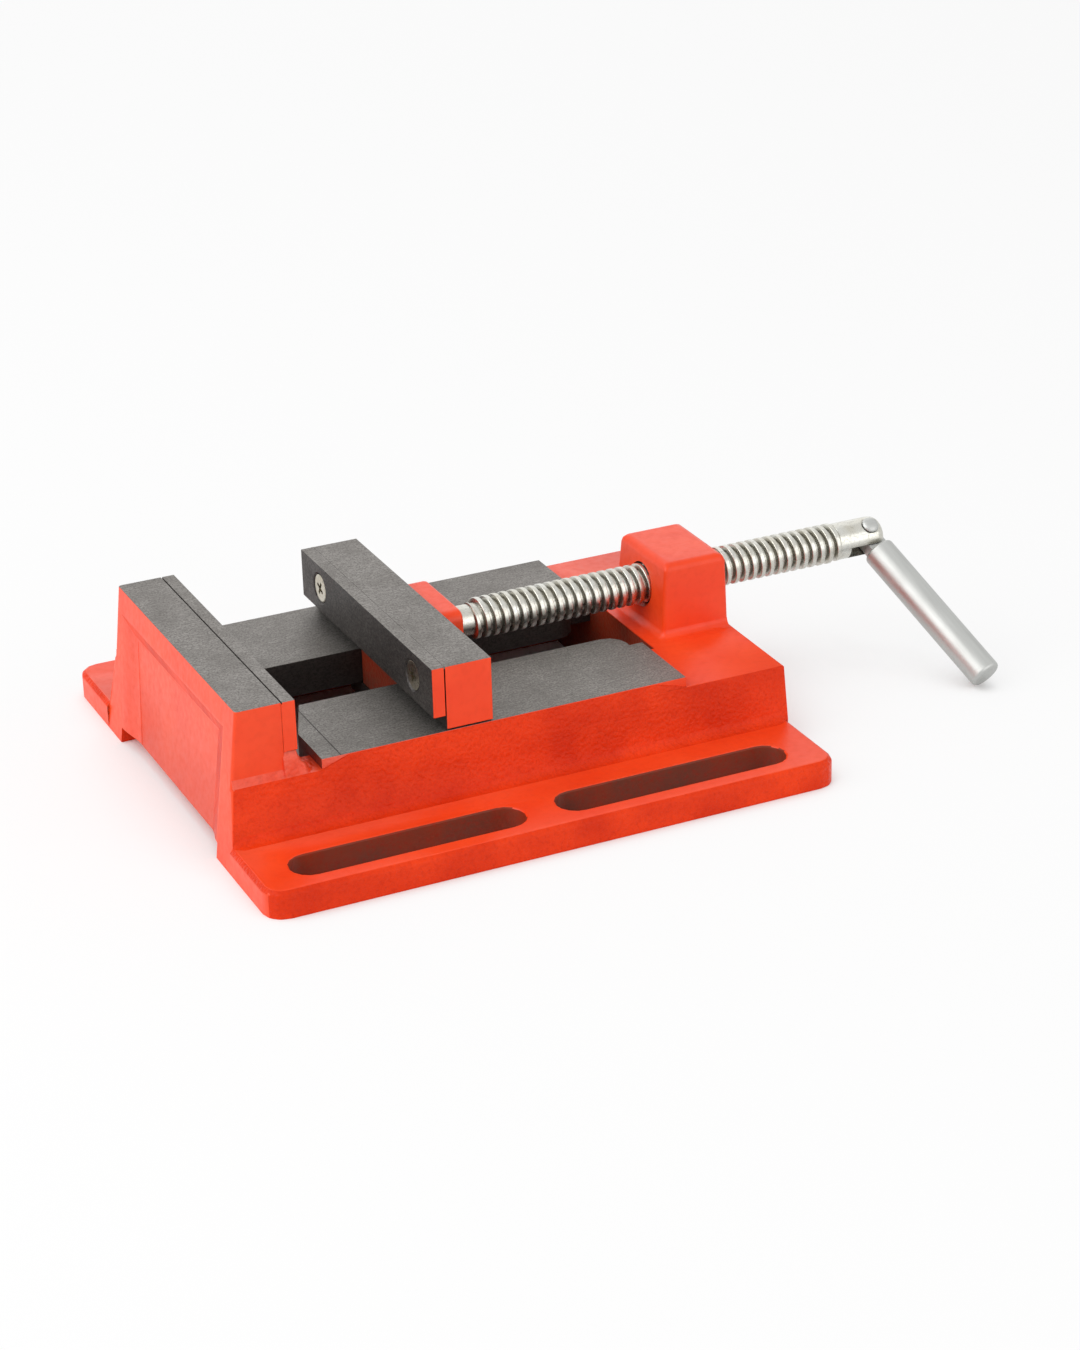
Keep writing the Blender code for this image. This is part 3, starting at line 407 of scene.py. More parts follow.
# %% Plate the screw and draw the bar
ZINC_LIGHT = (0.64, 0.64, 0.60)
ZINC_WARM = (0.54, 0.515, 0.44)
DULL_LIGHT = (0.60, 0.57, 0.48)
DULL_WARM = (0.46, 0.41, 0.31)
GRIME_AND_SHADE = (0.21, 0.195, 0.17)
THREAD_RADIUS = 6.2 * MM
THREAD_DEPTH = 1.5 * MM
THREAD_ROOT = THREAD_RADIUS - THREAD_DEPTH
GROOVE_SHADE_START = 0.1 * MM
GROOVE_SHADE_END = 0.9 * MM
ZINC_CLOUD = 5.0 * MM
SCUFF_SIZE = 0.8 * MM
SCUFF_RELIEF = 0.05 * MM
STEEL_LIGHT = (0.52, 0.527, 0.51)
STEEL_DARK = (0.41, 0.414, 0.40)
STEEL_CLOUD = 12.0 * MM
LINE_SIZE = 1.2 * MM
LINE_RELIEF = 0.04 * MM
LINE_STRETCH = 12.0


def from_axis(tree, place):
    """How far a point lies from the axis of the lead screw."""
    moved = tree.nodes.new("ShaderNodeMapping")
    moved.inputs["Location"].default_value = (0, 0, -SCREW_HEIGHT)
    moved.inputs["Scale"].default_value = (0, 1, 1)
    tree.links.new(place, moved.inputs["Vector"])
    length = tree.nodes.new("ShaderNodeVectorMath")
    length.operation = "LENGTH"
    tree.links.new(moved.outputs["Vector"], length.inputs[0])
    return length.outputs["Value"]


def zinc(name, light, warm, with_groove_shade):
    """Plating between two tones with dark scuffs, and painted shade in the grooves where a thread has them.
    """
    plate, tree, shader, place = new_finish(name, metallic=1.0, roughness=0.26)
    clouds = noise(tree, place, ZINC_CLOUD, detail=3.0)
    scuffs = noise(tree, place, SCUFF_SIZE, detail=3.0, roughness=0.65)
    tone = blended(tree, spread(tree, clouds, 0.0, 0.8), light, warm)
    tone = blended(tree, spread(tree, scuffs, 0.30, 0.0, 0.32, 0.5), tone, GRIME_AND_SHADE)
    if with_groove_shade:
        # Painted shade: towards the root of the thread the plating is mixed into a dark grey.
        groove = spread(tree, from_axis(tree, place), 0.75, 0.0,
                        THREAD_ROOT + GROOVE_SHADE_START, THREAD_ROOT + GROOVE_SHADE_END)
        tone = blended(tree, groove, tone, GRIME_AND_SHADE)
    tree.links.new(tone, shader.inputs["Base Color"])
    tree.links.new(spread(tree, scuffs, 0.40, 0.22), shader.inputs["Roughness"])
    bumped(tree, shader, scuffs, SCUFF_RELIEF, 0.4)
    return plate


thread_zinc = zinc("zinc_thread", ZINC_LIGHT, ZINC_WARM, True)
plain_zinc = zinc("zinc_plate", ZINC_LIGHT, ZINC_WARM, False)
dull_zinc = zinc("dull_screw_plate", DULL_LIGHT, DULL_WARM, False)


def drawn_steel(name, frame_of_bar):
    """Bright steel with faint lines along the X axis of a bar's own frame."""
    steel, tree, shader, place = new_finish(name, metallic=1.0, roughness=0.34)
    clouds = noise(tree, place, STEEL_CLOUD, detail=3.0)
    on_bar = tree.nodes.new("ShaderNodeMapping")
    on_bar.vector_type = "TEXTURE"
    on_bar.inputs["Location"].default_value = frame_of_bar.to_translation()
    on_bar.inputs["Rotation"].default_value = frame_of_bar.to_euler()
    on_bar.inputs["Scale"].default_value = (LINE_STRETCH, 1, 1)
    tree.links.new(place, on_bar.inputs["Vector"])
    lines = noise(tree, on_bar.outputs["Vector"], LINE_SIZE, detail=3.0)
    tone = blended(tree, spread(tree, lines, 0.0, 0.5), STEEL_LIGHT, STEEL_DARK)
    tree.links.new(tone, shader.inputs["Base Color"])
    tree.links.new(spread(tree, clouds, 0.42, 0.54), shader.inputs["Roughness"])
    bumped(tree, shader, lines, LINE_RELIEF, 0.3)
    return steel


bright_steel = drawn_steel("bright_steel", Matrix.Identity(4))
print("plated", thread_zinc.name, plain_zinc.name, bright_steel.name)

# %% [markdown]
# ## Rounding the castings
# A casting never has a sharp edge. Its outer edges are rounded because sand can't hold a sharp
# corner, and its inner corners carry a fillet so that the iron doesn't crack there. The shape
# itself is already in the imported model, so the simplest way is to copy that mesh, weld its loose
# triangles, and bevel the edges in groups, the cast ones wider and the machined ones hardly at
# all.

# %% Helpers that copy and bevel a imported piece
WELD = 0.01 * MM
SLIVER = 0.4 * MM
SAME = 0.06 * MM
FLAT_ANGLE = math.radians(0.5)
SMOOTH_ANGLE = math.radians(38)
SHARP_TURN = math.radians(60)


def near(value, wanted):
    """Whether two places are the same within a twentieth of a millimetre or so."""
    return abs(value - wanted) < SAME


def welded(node):
    """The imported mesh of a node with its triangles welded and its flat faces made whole."""
    mesh = bmesh.new()
    mesh.from_mesh(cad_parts[node].data)
    bmesh.ops.remove_doubles(mesh, verts=mesh.verts, dist=WELD)
    bmesh.ops.dissolve_limit(mesh, angle_limit=FLAT_ANGLE, verts=mesh.verts, edges=mesh.edges)
    return mesh


def middle(edge):
    """The point halfway along an edge."""
    return (edge.verts[0].co + edge.verts[1].co) / 2


def outer(edge):
    """Whether an edge is a sharp outer one."""
    return edge.calc_face_angle_signed() > SHARP_TURN


def inner(edge):
    """Whether an edge is a sharp inner corner."""
    return edge.calc_face_angle_signed() < -SHARP_TURN


def rounded(mesh, choose, radius, segments=3):
    """Bevel the edges that a test chooses, and say how many they were."""
    chosen = [edge for edge in mesh.edges if edge.is_manifold and choose(edge)]
    bmesh.ops.bevel(mesh, geom=chosen, offset=radius, offset_type="OFFSET", segments=segments,
                    profile=0.5, affect="EDGES", clamp_overlap=False, material=-1)
    return len(chosen)


def split_faces(mesh, faces, place, across):
    """Cut some faces along a plane, so that each side can have its own finish."""
    geometry = list(faces)
    for face in faces:
        geometry += [part for part in (*face.edges, *face.verts) if part not in geometry]
    bmesh.ops.bisect_plane(mesh, geom=geometry, plane_co=place, plane_no=across, dist=WELD)


def finished(name, mesh, finishes, body, slot_name, *nodes):
    """Make an object of a mesh, and let it ride on a body in place of some nodes."""
    data = bpy.data.meshes.new(name)
    mesh.to_mesh(data)
    mesh.free()
    for finish in finishes:
        data.materials.append(finish)
    data.shade_smooth()
    data.set_sharp_from_angle(angle=SMOOTH_ANGLE)
    piece = bpy.data.objects.new(name, data)
    bpy.context.scene.collection.objects.link(piece)
    even = piece.modifiers.new("even_shading", "WEIGHTED_NORMAL")
    even.keep_sharp = True
    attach(piece, body)
    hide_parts(*nodes)


# %% [markdown]
# ## The base casting
# One iron casting carries everything: two slotted flanges, a drafted body, the fixed jaw, two
# rails and the block with the nut's thread. Which finish a face gets follows from where it lies
# and which way it looks, because that is how the real one was made: painted all over first, and
# then ground and milled where something slides or grips.

# %% Choose the finishes of the base
POCKET_WIDTH = 44.0 * MM
INNER_WALL = 48.0 * MM
BACK_WALL = 5.0 * MM
RAIL_SIDE = 50.2 * MM
SLOT_INNER = 65.7 * MM
SLOT_SIDE = 77.9 * MM
SLOT_FROM_END = 7.8 * MM
FRONT_ZONE = station(8.0 * MM)
FIXED_SEAT = station(19.1 * MM)
JAW_END = 50.0 * MM
RAIL_FRONT = station(29.9 * MM)
BED_END = station(148.2 * MM)
NUT_FRONT = station(154.1 * MM)
THREAD_CLEARANCE = 0.4 * MM
LEVEL = 0.9
ROUGH_SHADED, SMOOTH, GROUND, MILLED_SHADE, HIGHLIGHT, INNER_SHADE, SHADED = range(7)
casting_finishes = (rough_shaded_paint, smooth_paint, ground_top, milled_iron_in_shade, highlight_paint, inner_shade_paint,
                    shaded_paint)


def from_screw(point):
    """How far a point lies from the axis of the lead screw."""
    return math.hypot(point.y, point.z - SCREW_HEIGHT)


def in_flange_slot(face, place):
    """Whether a face is a wall of one of the clamping slots."""
    in_slot_band = SLOT_INNER - SAME < abs(place.y) < SLOT_SIDE + SAME
    off_ends = base_low.x + SLOT_FROM_END < place.x < base_high.x - SLOT_FROM_END
    return in_slot_band and off_ends and abs(face.normal.z) < 0.5


def beside_jaw(place):
    """Whether a point is on the wall's top between the fixed jaw and the rails."""
    return FIXED_SEAT - SAME < place.x < RAIL_FRONT + SAME and near(place.z, SHOULDER_TOP)


def base_finish(face):
    """The finish of one face of the base casting."""
    place = face.calc_center_median()
    faces_up = face.normal.z > LEVEL
    in_bed = RAIL_FRONT - SAME < place.x < BED_END + SAME and abs(place.y) < POCKET_WIDTH / 2 + SAME
    if faces_up and (near(place.z, RAIL_TOP) or near(place.z, jaw_top) and place.x < FIXED_SEAT):
        return GROUND
    along_screw = abs(face.normal.x) < LEVEL
    if along_screw and place.x > NUT_FRONT and from_screw(place) < THREAD_RADIUS + THREAD_CLEARANCE:
        return MILLED_SHADE
    # Painted shade: the bed's walls are near black milled iron, and dark red-brown lower down.
    if in_bed and place.z < RAIL_TOP and not faces_up:
        return MILLED_SHADE if place.z > RAIL_UNDERSIDE else INNER_SHADE
    inside = FIXED_SEAT - SAME < place.x < base_high.x - BACK_WALL and abs(place.y) < INNER_WALL
    if inside and place.z < SHOULDER_TOP - SAME:
        return INNER_SHADE
    # Painted shade: the rails' front ends are milled iron in near black.
    plate_seat = near(place.x, FIXED_SEAT) and face.normal.x > LEVEL and place.z > plate_low.z
    if near(place.x, RAIL_FRONT) and face.normal.x < -LEVEL or plate_seat:
        return MILLED_SHADE
    # Painted shade: the walls of the clamping slots get the dark red-brown.
    if in_flange_slot(face, place):
        return INNER_SHADE
    # Painted highlight on the rails' side strips and on the wall's top beside the fixed jaw.
    if near(abs(place.y), RAIL_SIDE) and place.z > SHOULDER_TOP or beside_jaw(place):
        return HIGHLIGHT
    front = face.normal.x < -LEVEL and place.x < FRONT_ZONE
    if faces_up or front or place.z > SHOULDER_TOP:
        return SMOOTH
    # Painted shade: what is left is the side walls, in the darker rough paint.
    return ROUGH_SHADED


FRONT_LEAN = 5.6 * MM
PANEL_SIDE = 38.5 * MM
PANEL_HEIGHT = 38.5 * MM
PANEL_RISE = 2.2 * MM
PANEL_FOOT_SIDE = 41.6 * MM
PANEL_NEAR_SIDE = 42.5 * MM
PANEL_FAR_SIDE = 48.5 * MM
base_mesh = welded("base_casting")
for vert in base_mesh.verts:
    place = vert.co
    if place.x < FRONT_ZONE and PANEL_SIDE - SAME < abs(place.y) < PANEL_SIDE + CHAMFER:
        at_top = near(place.z, PANEL_HEIGHT)
        wide = PANEL_FAR_SIDE if place.y > 0 else PANEL_NEAR_SIDE
        place.y = math.copysign(wide if at_top else PANEL_FOOT_SIDE, place.y)
        place.z += PANEL_RISE if at_top else 0
        place.x += FRONT_LEAN * PANEL_RISE / jaw_top if at_top else 0
plate_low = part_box("fixed_jaw_plate")[0]
seat_faces = [face for face in base_mesh.faces
              if near(face.calc_center_median().x, FIXED_SEAT) and face.normal.x > LEVEL]
split_faces(base_mesh, seat_faces, plate_low, Vector((0, 0, 1)))
for face in base_mesh.faces:
    face.material_index = base_finish(face)
print("base faces", len(base_mesh.faces))

# %% [markdown]
# Each group of edges has a test that finds it and a radius of its own, and the machined edges
# come last with the smallest one. Edges of the nut's thread and of the holes behind the jaw plate
# are left as they are: nobody sees them, and a bevel wider than a thread would fold over.

# %% Round the base
WALL_FOOT = 53.7 * MM
CAST_EDGE = 1.0 * MM
RAIL_END = 144.1 * MM
STEP_EDGE = 0.7 * MM
NARROW_EDGE = 0.5 * MM
MACHINED_EDGE = 0.2 * MM
CORNER_TURN = math.radians(8)
CHAMFER_TURN = math.radians(35)
NUT_THREAD_REACH = 1.4 * THREAD_RADIUS
HOLE_REACH = 45.4 * MM
METALS = (GROUND, MILLED_SHADE)


def bends_between(edge, low, high):
    """Whether the turn of an edge, outer or inner, is between two angles."""
    return low < abs(edge.calc_face_angle_signed()) < high


def is_upright(edge):
    """Whether an edge is nearly vertical."""
    along = edge.verts[1].co - edge.verts[0].co
    return abs(along.z) > LEVEL * along.length


def touches_metal(edge):
    """Whether one of the two faces at an edge is bare metal."""
    return any(face.material_index in METALS for face in edge.link_faces)


def hidden(edge):
    """Whether an edge lies in the nut's thread, or in a screw hole behind the jaw plate."""
    place = middle(edge)
    in_thread = place.x > NUT_FRONT - SAME and from_screw(place) < NUT_THREAD_REACH
    in_hole = FRONT_ZONE < place.x < FIXED_SEAT + SAME and RAIL_TOP + SLIVER < place.z < jaw_top - SLIVER
    return in_thread or in_hole and abs(place.y) < HOLE_REACH


def corner_step(edge):
    """The upright steps of the rounded flange corners."""
    at_corner = abs(middle(edge).y) > SLOT_SIDE + STEP_EDGE
    return is_upright(edge) and bends_between(edge, CORNER_TURN, CHAMFER_TURN) and at_corner


def flange_chamfer(edge):
    """Both edges of the chamfer round a flange."""
    on_flange = middle(edge).z < FLANGE_TOP + SAME and abs(middle(edge).y) > WALL_FOOT
    return bends_between(edge, CHAMFER_TURN, SHARP_TURN) and on_flange


def slot_rim(edge):
    """The upper rims of the clamping slots."""
    return outer(edge) and near(middle(edge).z, FLANGE_TOP) and abs(middle(edge).y) > WALL_FOOT + STEP_EDGE


def front_corner(edge):
    """The tall corners of the leaning front face."""
    place = middle(edge)
    at_front = place.x < FRONT_ZONE and place.z > FLANGE_TOP + CHAMFER
    return outer(edge) and at_front and abs(place.y) > JAW_END - SAME and not touches_metal(edge)


def shoulder_edge(edge):
    """The wall's upper edge behind the rails and beside the fixed jaw."""
    place = middle(edge)
    along_rail = RAIL_FRONT < place.x < station(RAIL_END) and abs(place.y) > RAIL_SIDE
    return outer(edge) and near(place.z, SHOULDER_TOP) and not touches_metal(edge) and not along_rail


def ground_edge(edge):
    """An edge of bare metal."""
    return outer(edge) and touches_metal(edge) and not hidden(edge)


def sole_edge(edge):
    """The outer edges of the underside."""
    return outer(edge) and near(middle(edge).z, base_low.z)


base_edges = ((corner_step, STEP_EDGE, 2), (front_corner, CAST_EDGE, 3), (flange_chamfer, NARROW_EDGE, 2),
              (slot_rim, STEP_EDGE, 3), (shoulder_edge, NARROW_EDGE, 3), (sole_edge, MACHINED_EDGE, 2),
              (ground_edge, MACHINED_EDGE, 2))
for choose, radius, segments in base_edges:
    print(choose.__name__, rounded(base_mesh, choose, radius, segments))

# %% [markdown]
# Where the drafted wall stands on the flange, and where the nut block stands on the shoulder, the
# inner corner is filled. Each fillet is a strip of its own: a hollow quarter round that leans
# with the wall, carried along the foot and sunk a little way into both faces.

# %% Lay the fillets along the feet
WALL_FILLET = 2.6 * MM
BLOCK_FILLET = 2.2 * MM
STRIP_SUNK = 0.4 * MM
FILLET_STEPS = 6
WALL_TOP = 50.9 * MM
BLOCK_FOOT = 16.5 * MM
BLOCK_NECK = 15.05 * MM
BLOCK_NECK_HEIGHT = 44.8 * MM
BLOCK_CORNER = 1.2 * MM
STRIP_END_SHARE = 0.35


def swept(mesh, profile, frames, finish_index):
    """A closed bar in a mesh: a profile of (outwards, up) pairs at each of some corners of a path."""
    rings = []
    for corner, outwards, share in frames:
        rings.append([corner + share * (outwards * out + Vector((0, 0, rise))) for out, rise in profile])
    lofted(mesh, rings, finish_index)


def lofted(mesh, point_rings, finish_index):
    """A closed bar in a mesh through rings of points."""
    rings = [[mesh.verts.new(point) for point in ring] for ring in point_rings]
    faces = [mesh.faces.new(rings[0]), mesh.faces.new(rings[-1])]
    for ring, next_ring in zip(rings, rings[1:]):
        for index in range(len(ring)):
            after = (index + 1) % len(ring)
            faces.append(mesh.faces.new((ring[index], ring[after], next_ring[after], next_ring[index])))
    for face in faces:
        face.material_index = finish_index
    bmesh.ops.recalc_face_normals(mesh, faces=faces)


def hollow_round(radius, lean):
    """A hollow quarter round that leans with its wall, and the part of it that is sunk."""
    arc_points = []
    for step in range(FILLET_STEPS + 1):
        angle = math.pi / 2 * step / FILLET_STEPS
        rise = radius * (1 - math.sin(angle))
        arc_points.append((radius * (1 - math.cos(angle)) - rise * lean, rise))
    sunk = [(radius, -STRIP_SUNK), (-STRIP_SUNK, -STRIP_SUNK), (-STRIP_SUNK - radius * lean, radius)]
    return arc_points + sunk


wall_lean = (WALL_FOOT - WALL_TOP) / (SHOULDER_TOP - FLANGE_TOP)
for side in (-1, 1):
    outwards = Vector((0, side, 0))
    stops = ((base_low.x + CHAMFER, STRIP_END_SHARE), (base_low.x + CHAMFER + WALL_FILLET, 1.0),
             (base_high.x - CHAMFER - WALL_FILLET, 1.0), (base_high.x - CHAMFER, STRIP_END_SHARE))
    frames = [(Vector((x, side * WALL_FOOT, FLANGE_TOP)), outwards, share) for x, share in stops]
    swept(base_mesh, hollow_round(WALL_FILLET, wall_lean), frames, ROUGH_SHADED)

block_lean = (BLOCK_FOOT - BLOCK_NECK) / (BLOCK_NECK_HEIGHT - SHOULDER_TOP)
turn_places = [(NUT_FRONT + BLOCK_CORNER, side * (BLOCK_FOOT - BLOCK_CORNER)) for side in (-1, 1)]
frames = [(Vector((base_high.x - STRIP_SUNK, -BLOCK_FOOT, SHOULDER_TOP)), Vector((0, -1, 0)), 1.0)]
for (x, y), first_angle in zip(turn_places, (-math.pi / 2, -math.pi)):
    for step in range(FILLET_STEPS + 1):
        angle = first_angle - math.pi / 2 * step / FILLET_STEPS
        outwards = Vector((math.cos(angle), math.sin(angle), 0))
        frames.append((Vector((x, y, SHOULDER_TOP)) + BLOCK_CORNER * outwards, outwards, 1.0))
frames.append((Vector((base_high.x - STRIP_SUNK, BLOCK_FOOT, SHOULDER_TOP)), Vector((0, 1, 0)), 1.0))
swept(base_mesh, hollow_round(BLOCK_FILLET, block_lean), frames, SMOOTH)
print("base faces with fillets", len(base_mesh.faces))

# %% [markdown]
# The front face has a shallow recess whose rim is cast very softly, like a picture frame with a
# hollow moulding. A closed strip along the rim gives it that shape: its section is half a wave
# from the face down to the floor of the recess. Where the strip faces down or away from the
# camera it gets a duller and darker red, which is painted shade, so the rim reads as one soft
# darker line.

# %% Soften the recess in the front face
PANEL_DEPTH = 1.6 * MM
PANEL_FOOT = 4.9 * MM
PANEL_TOP = PANEL_HEIGHT + PANEL_RISE
TOP_REACH = 5.6 * MM
NEAR_REACH = 8.5 * MM
FAR_REACH = 14.0 * MM
SOFT_STEPS = 12
SHADED_TURN = 0.08


def on_face(y, z, depth):
    """A point at some depth behind the leaning front face."""
    return Vector((base_low.x + FRONT_LEAN * z / jaw_top + depth, y, z))


def rim_ring(lip, inner_side):
    """The section of the soft rim between two places on the front face."""
    points = []
    for step in range(SOFT_STEPS + 1):
        share = step / SOFT_STEPS
        depth = (PANEL_DEPTH - SAME) * (1 - math.cos(math.pi * share)) / 2
        y, z = (start + (end - start) * share for start, end in zip(lip, inner_side))
        points.append(on_face(y, z, depth))
    sunk = PANEL_DEPTH + STRIP_SUNK
    return points + [on_face(*inner_side, sunk), on_face(*lip, sunk)]


rim_places = (((PANEL_FOOT_SIDE, PANEL_FOOT), (PANEL_FOOT_SIDE - FAR_REACH, PANEL_FOOT)),
              ((PANEL_FAR_SIDE, PANEL_TOP), (PANEL_FAR_SIDE - FAR_REACH, PANEL_TOP - TOP_REACH)),
              ((-PANEL_NEAR_SIDE, PANEL_TOP), (NEAR_REACH - PANEL_NEAR_SIDE, PANEL_TOP - TOP_REACH)),
              ((-PANEL_FOOT_SIDE, PANEL_FOOT), (NEAR_REACH - PANEL_FOOT_SIDE, PANEL_FOOT)))
faces_before = set(base_mesh.faces)
lofted(base_mesh, [rim_ring(lip, inner_side) for lip, inner_side in rim_places], SMOOTH)
for face in set(base_mesh.faces) - faces_before:
    if face.normal.z < -SHADED_TURN or face.normal.y > SHADED_TURN:
        face.material_index = SHADED
print("rim faces", len(base_mesh.faces) - len(faces_before))

# %% [markdown]
# A fine dark line crosses the near rail, where one pass of the cutter ended and the next began.
# The painted strips beside the rails get a lighter, pinker red, a painted highlight where their
# rounded edge catches the light, but only near the fixed jaw, so their faces are cut in two and
# the rear ones get the smooth paint back.

# %% Mark the near rail
MILLING_LINE = 35.5 * MM
HIGHLIGHT_END = 60.0 * MM
LINE_WIDTH = 0.4 * MM
ALONG = Vector((1, 0, 0))
for x in (MILLING_LINE, MILLING_LINE + LINE_WIDTH):
    rail_tops = [face for face in base_mesh.faces
                 if face.material_index == GROUND and face.calc_center_median().z < jaw_top - SAME]
    split_faces(base_mesh, rail_tops, Vector((station(x), 0, 0)), ALONG)
for face in base_mesh.faces:
    place = face.calc_center_median()
    on_line = station(MILLING_LINE) < place.x < station(MILLING_LINE + LINE_WIDTH)
    if on_line and face.material_index == GROUND and place.y < 0:
        face.material_index = MILLED_SHADE
highlight_faces = [face for face in base_mesh.faces if face.material_index == HIGHLIGHT]
split_faces(base_mesh, highlight_faces, Vector((station(HIGHLIGHT_END), 0, 0)), ALONG)
for face in base_mesh.faces:
    if face.material_index == HIGHLIGHT and face.calc_center_median().x > station(HIGHLIGHT_END):
        face.material_index = SMOOTH
print("milling line at", round(MILLING_LINE / MM, 1), "mm")

# %% [markdown]
# The rough side wall doesn't stop at one height. Beside the fixed jaw it ends in a small fillet
# at the jaw's foot. Just behind the front ends of the rails it climbs until it almost reaches
# their ground tops, and it falls again before their rear ends. A lump of iron and thick paint
# fills the corner below each end of the fixed plate. The fillet at the jaw's foot and the lump
# get the lighter, pinker red of a painted highlight, where their upturned faces catch the light.

# %% Raise the wall along the rails
CLIMB_START = station(30.2 * MM)
CLIMB_END = station(38 * MM)
FALL_START = station(134 * MM)
WALL_RISE = 2.8 * MM
JAW_FOOT_RISE = 2.4 * MM
JAW_FRONT = station(3.4 * MM)
LUMP_END = station(29.6 * MM)
LUMP_INNER = 40.4 * MM
LUMP_HEIGHT = 7.75 * MM
LUMP_TOP_REACH = 3.6 * MM
LUMP_SIZE = 2.4 * MM
LUMP_RELIEF = 1.3 * MM
LUMP_STEPS = 30
LUMP_RIM_SHARE = 0.2
THIN_RISE_SHARE = 0.02

wall_strip = ((WALL_TOP - RAIL_SIDE, 0.0), (WALL_TOP - RAIL_SIDE - wall_lean * WALL_RISE, WALL_RISE),
              (-STRIP_SUNK, WALL_RISE), (-STRIP_SUNK, 0.0))
foot_width = WALL_TOP - JAW_END
jaw_foot = ((foot_width, 0.0), (foot_width / 2, JAW_FOOT_RISE / 4), (0.0, JAW_FOOT_RISE),
            (-STRIP_SUNK, JAW_FOOT_RISE), (-STRIP_SUNK, -STRIP_SUNK), (foot_width, -STRIP_SUNK))


def lump_point(side, across, along):
    """A point of the lump: across from the jaw to the rails, and along from the wall inwards."""
    reach = LUMP_TOP_REACH + (LUMP_END - FIXED_SEAT - LUMP_TOP_REACH) * across
    from_rim = max(0, 1 - along / LUMP_RIM_SHARE)
    height = LUMP_HEIGHT * (1 - across) ** 3 * math.sqrt(1 - from_rim ** 2)
    width = WALL_TOP + (LUMP_INNER - WALL_TOP) * along
    place = Vector((FIXED_SEAT + reach, side * width, SHOULDER_TOP + height))
    ripple = LUMP_RELIEF * noise_at(place / LUMP_SIZE) * math.sin(math.pi * across)
    return place + Vector((0, side * ripple * from_rim, ripple))


for side in (-1, 1):
    outwards = Vector((0, side, 0))
    rail_line = [(CLIMB_START, THIN_RISE_SHARE), (CLIMB_END, 1.0), (FALL_START, 1.0),
                 (station(RAIL_END), THIN_RISE_SHARE)]
    rings = []
    for x, share in rail_line:
        foot = Vector((x, side * RAIL_SIDE, SHOULDER_TOP))
        rings.append([foot + outwards * out + Vector((0, 0, rise * share)) for out, rise in wall_strip])
    lofted(base_mesh, rings, ROUGH_SHADED)
    frames = [(Vector((x, side * JAW_END, SHOULDER_TOP)), outwards, 1.0) for x in (JAW_FRONT, FIXED_SEAT)]
    # Painted highlight on the fillet at the jaw's foot.
    swept(base_mesh, jaw_foot, frames, HIGHLIGHT)
    rings = []
    for step in range(LUMP_STEPS + 1):
        along = step / LUMP_STEPS
        upper = [lump_point(side, index / LUMP_STEPS, along) for index in range(LUMP_STEPS + 1)]
        back = FIXED_SEAT - STRIP_SUNK
        below = SHOULDER_TOP - STRIP_SUNK
        corners = [(upper[-1].x, below), (back, below), (back, upper[0].z)]
        rings.append(upper + [Vector((x, upper[0].y, z)) for x, z in corners])
    # Painted highlight on the lump below the fixed plate.
    lofted(base_mesh, rings, HIGHLIGHT)
print("base faces with strips", len(base_mesh.faces))
finished("base_iron", base_mesh, casting_finishes, "base", "red_paint", "base_casting")

# %% [markdown]
# ## The movable jaw
# A second casting slides on the rails. Its top is ground level with the fixed jaw, its underside
# is milled to slide, and the ends, the back and the round-topped boss are painted.

# %% Round the movable jaw
BOSS_HALF_WIDTH = 14.5 * MM
JAW_SEAT = station(68.2 * MM)
JAW_REAR = station(82.4 * MM)
BOSS_REAR = station(89.8 * MM)
JAW_UNDERSIDE = 28.0 * MM
BOSS_TOP = 46.0 * MM
BOSS_FILLET = 1.0 * MM


def jaw_finish(face):
    """The finish of one face of the movable jaw."""
    place = face.calc_center_median()
    faces_up = face.normal.z > LEVEL
    if faces_up and near(place.z, jaw_top):
        return GROUND
    if abs(face.normal.z) > LEVEL and place.z < JAW_UNDERSIDE + SAME:
        return MILLED_SHADE
    # Painted shade: below the rails the jaw's tongue gets the dark red-brown.
    if place.z < RAIL_TOP - SAME:
        return INNER_SHADE
    # Painted shade: the screw's bore and the plate seat are milled iron in near black.
    inside = JAW_SEAT + SAME < place.x < BOSS_REAR - SAME and from_screw(place) < THREAD_RADIUS
    if inside or near(place.x, JAW_SEAT) and place.z > JAW_UNDERSIDE:
        return MILLED_SHADE
    return SMOOTH


def boss_foot(edge):
    """The inner corner where the boss leaves the back of the jaw block."""
    place = middle(edge)
    return inner(edge) and near(place.x, JAW_REAR) and place.z > JAW_UNDERSIDE + SAME


def boss_rim(edge):
    """The rim of the boss's rear face."""
    place = middle(edge)
    share_up = (place.z - JAW_UNDERSIDE) / (BOSS_TOP - JAW_UNDERSIDE)
    at_rim = max(abs(place.y) / BOSS_HALF_WIDTH, share_up) > LEVEL
    return outer(edge) and near(place.x, BOSS_REAR) and at_rim


def jaw_edge(edge):
    """The long outer edges of the jaw block."""
    place = middle(edge)
    on_block = near(abs(place.y), JAW_END) or near(place.z, jaw_top) or near(place.x, JAW_REAR)
    return outer(edge) and on_block and place.x > JAW_SEAT + SAME


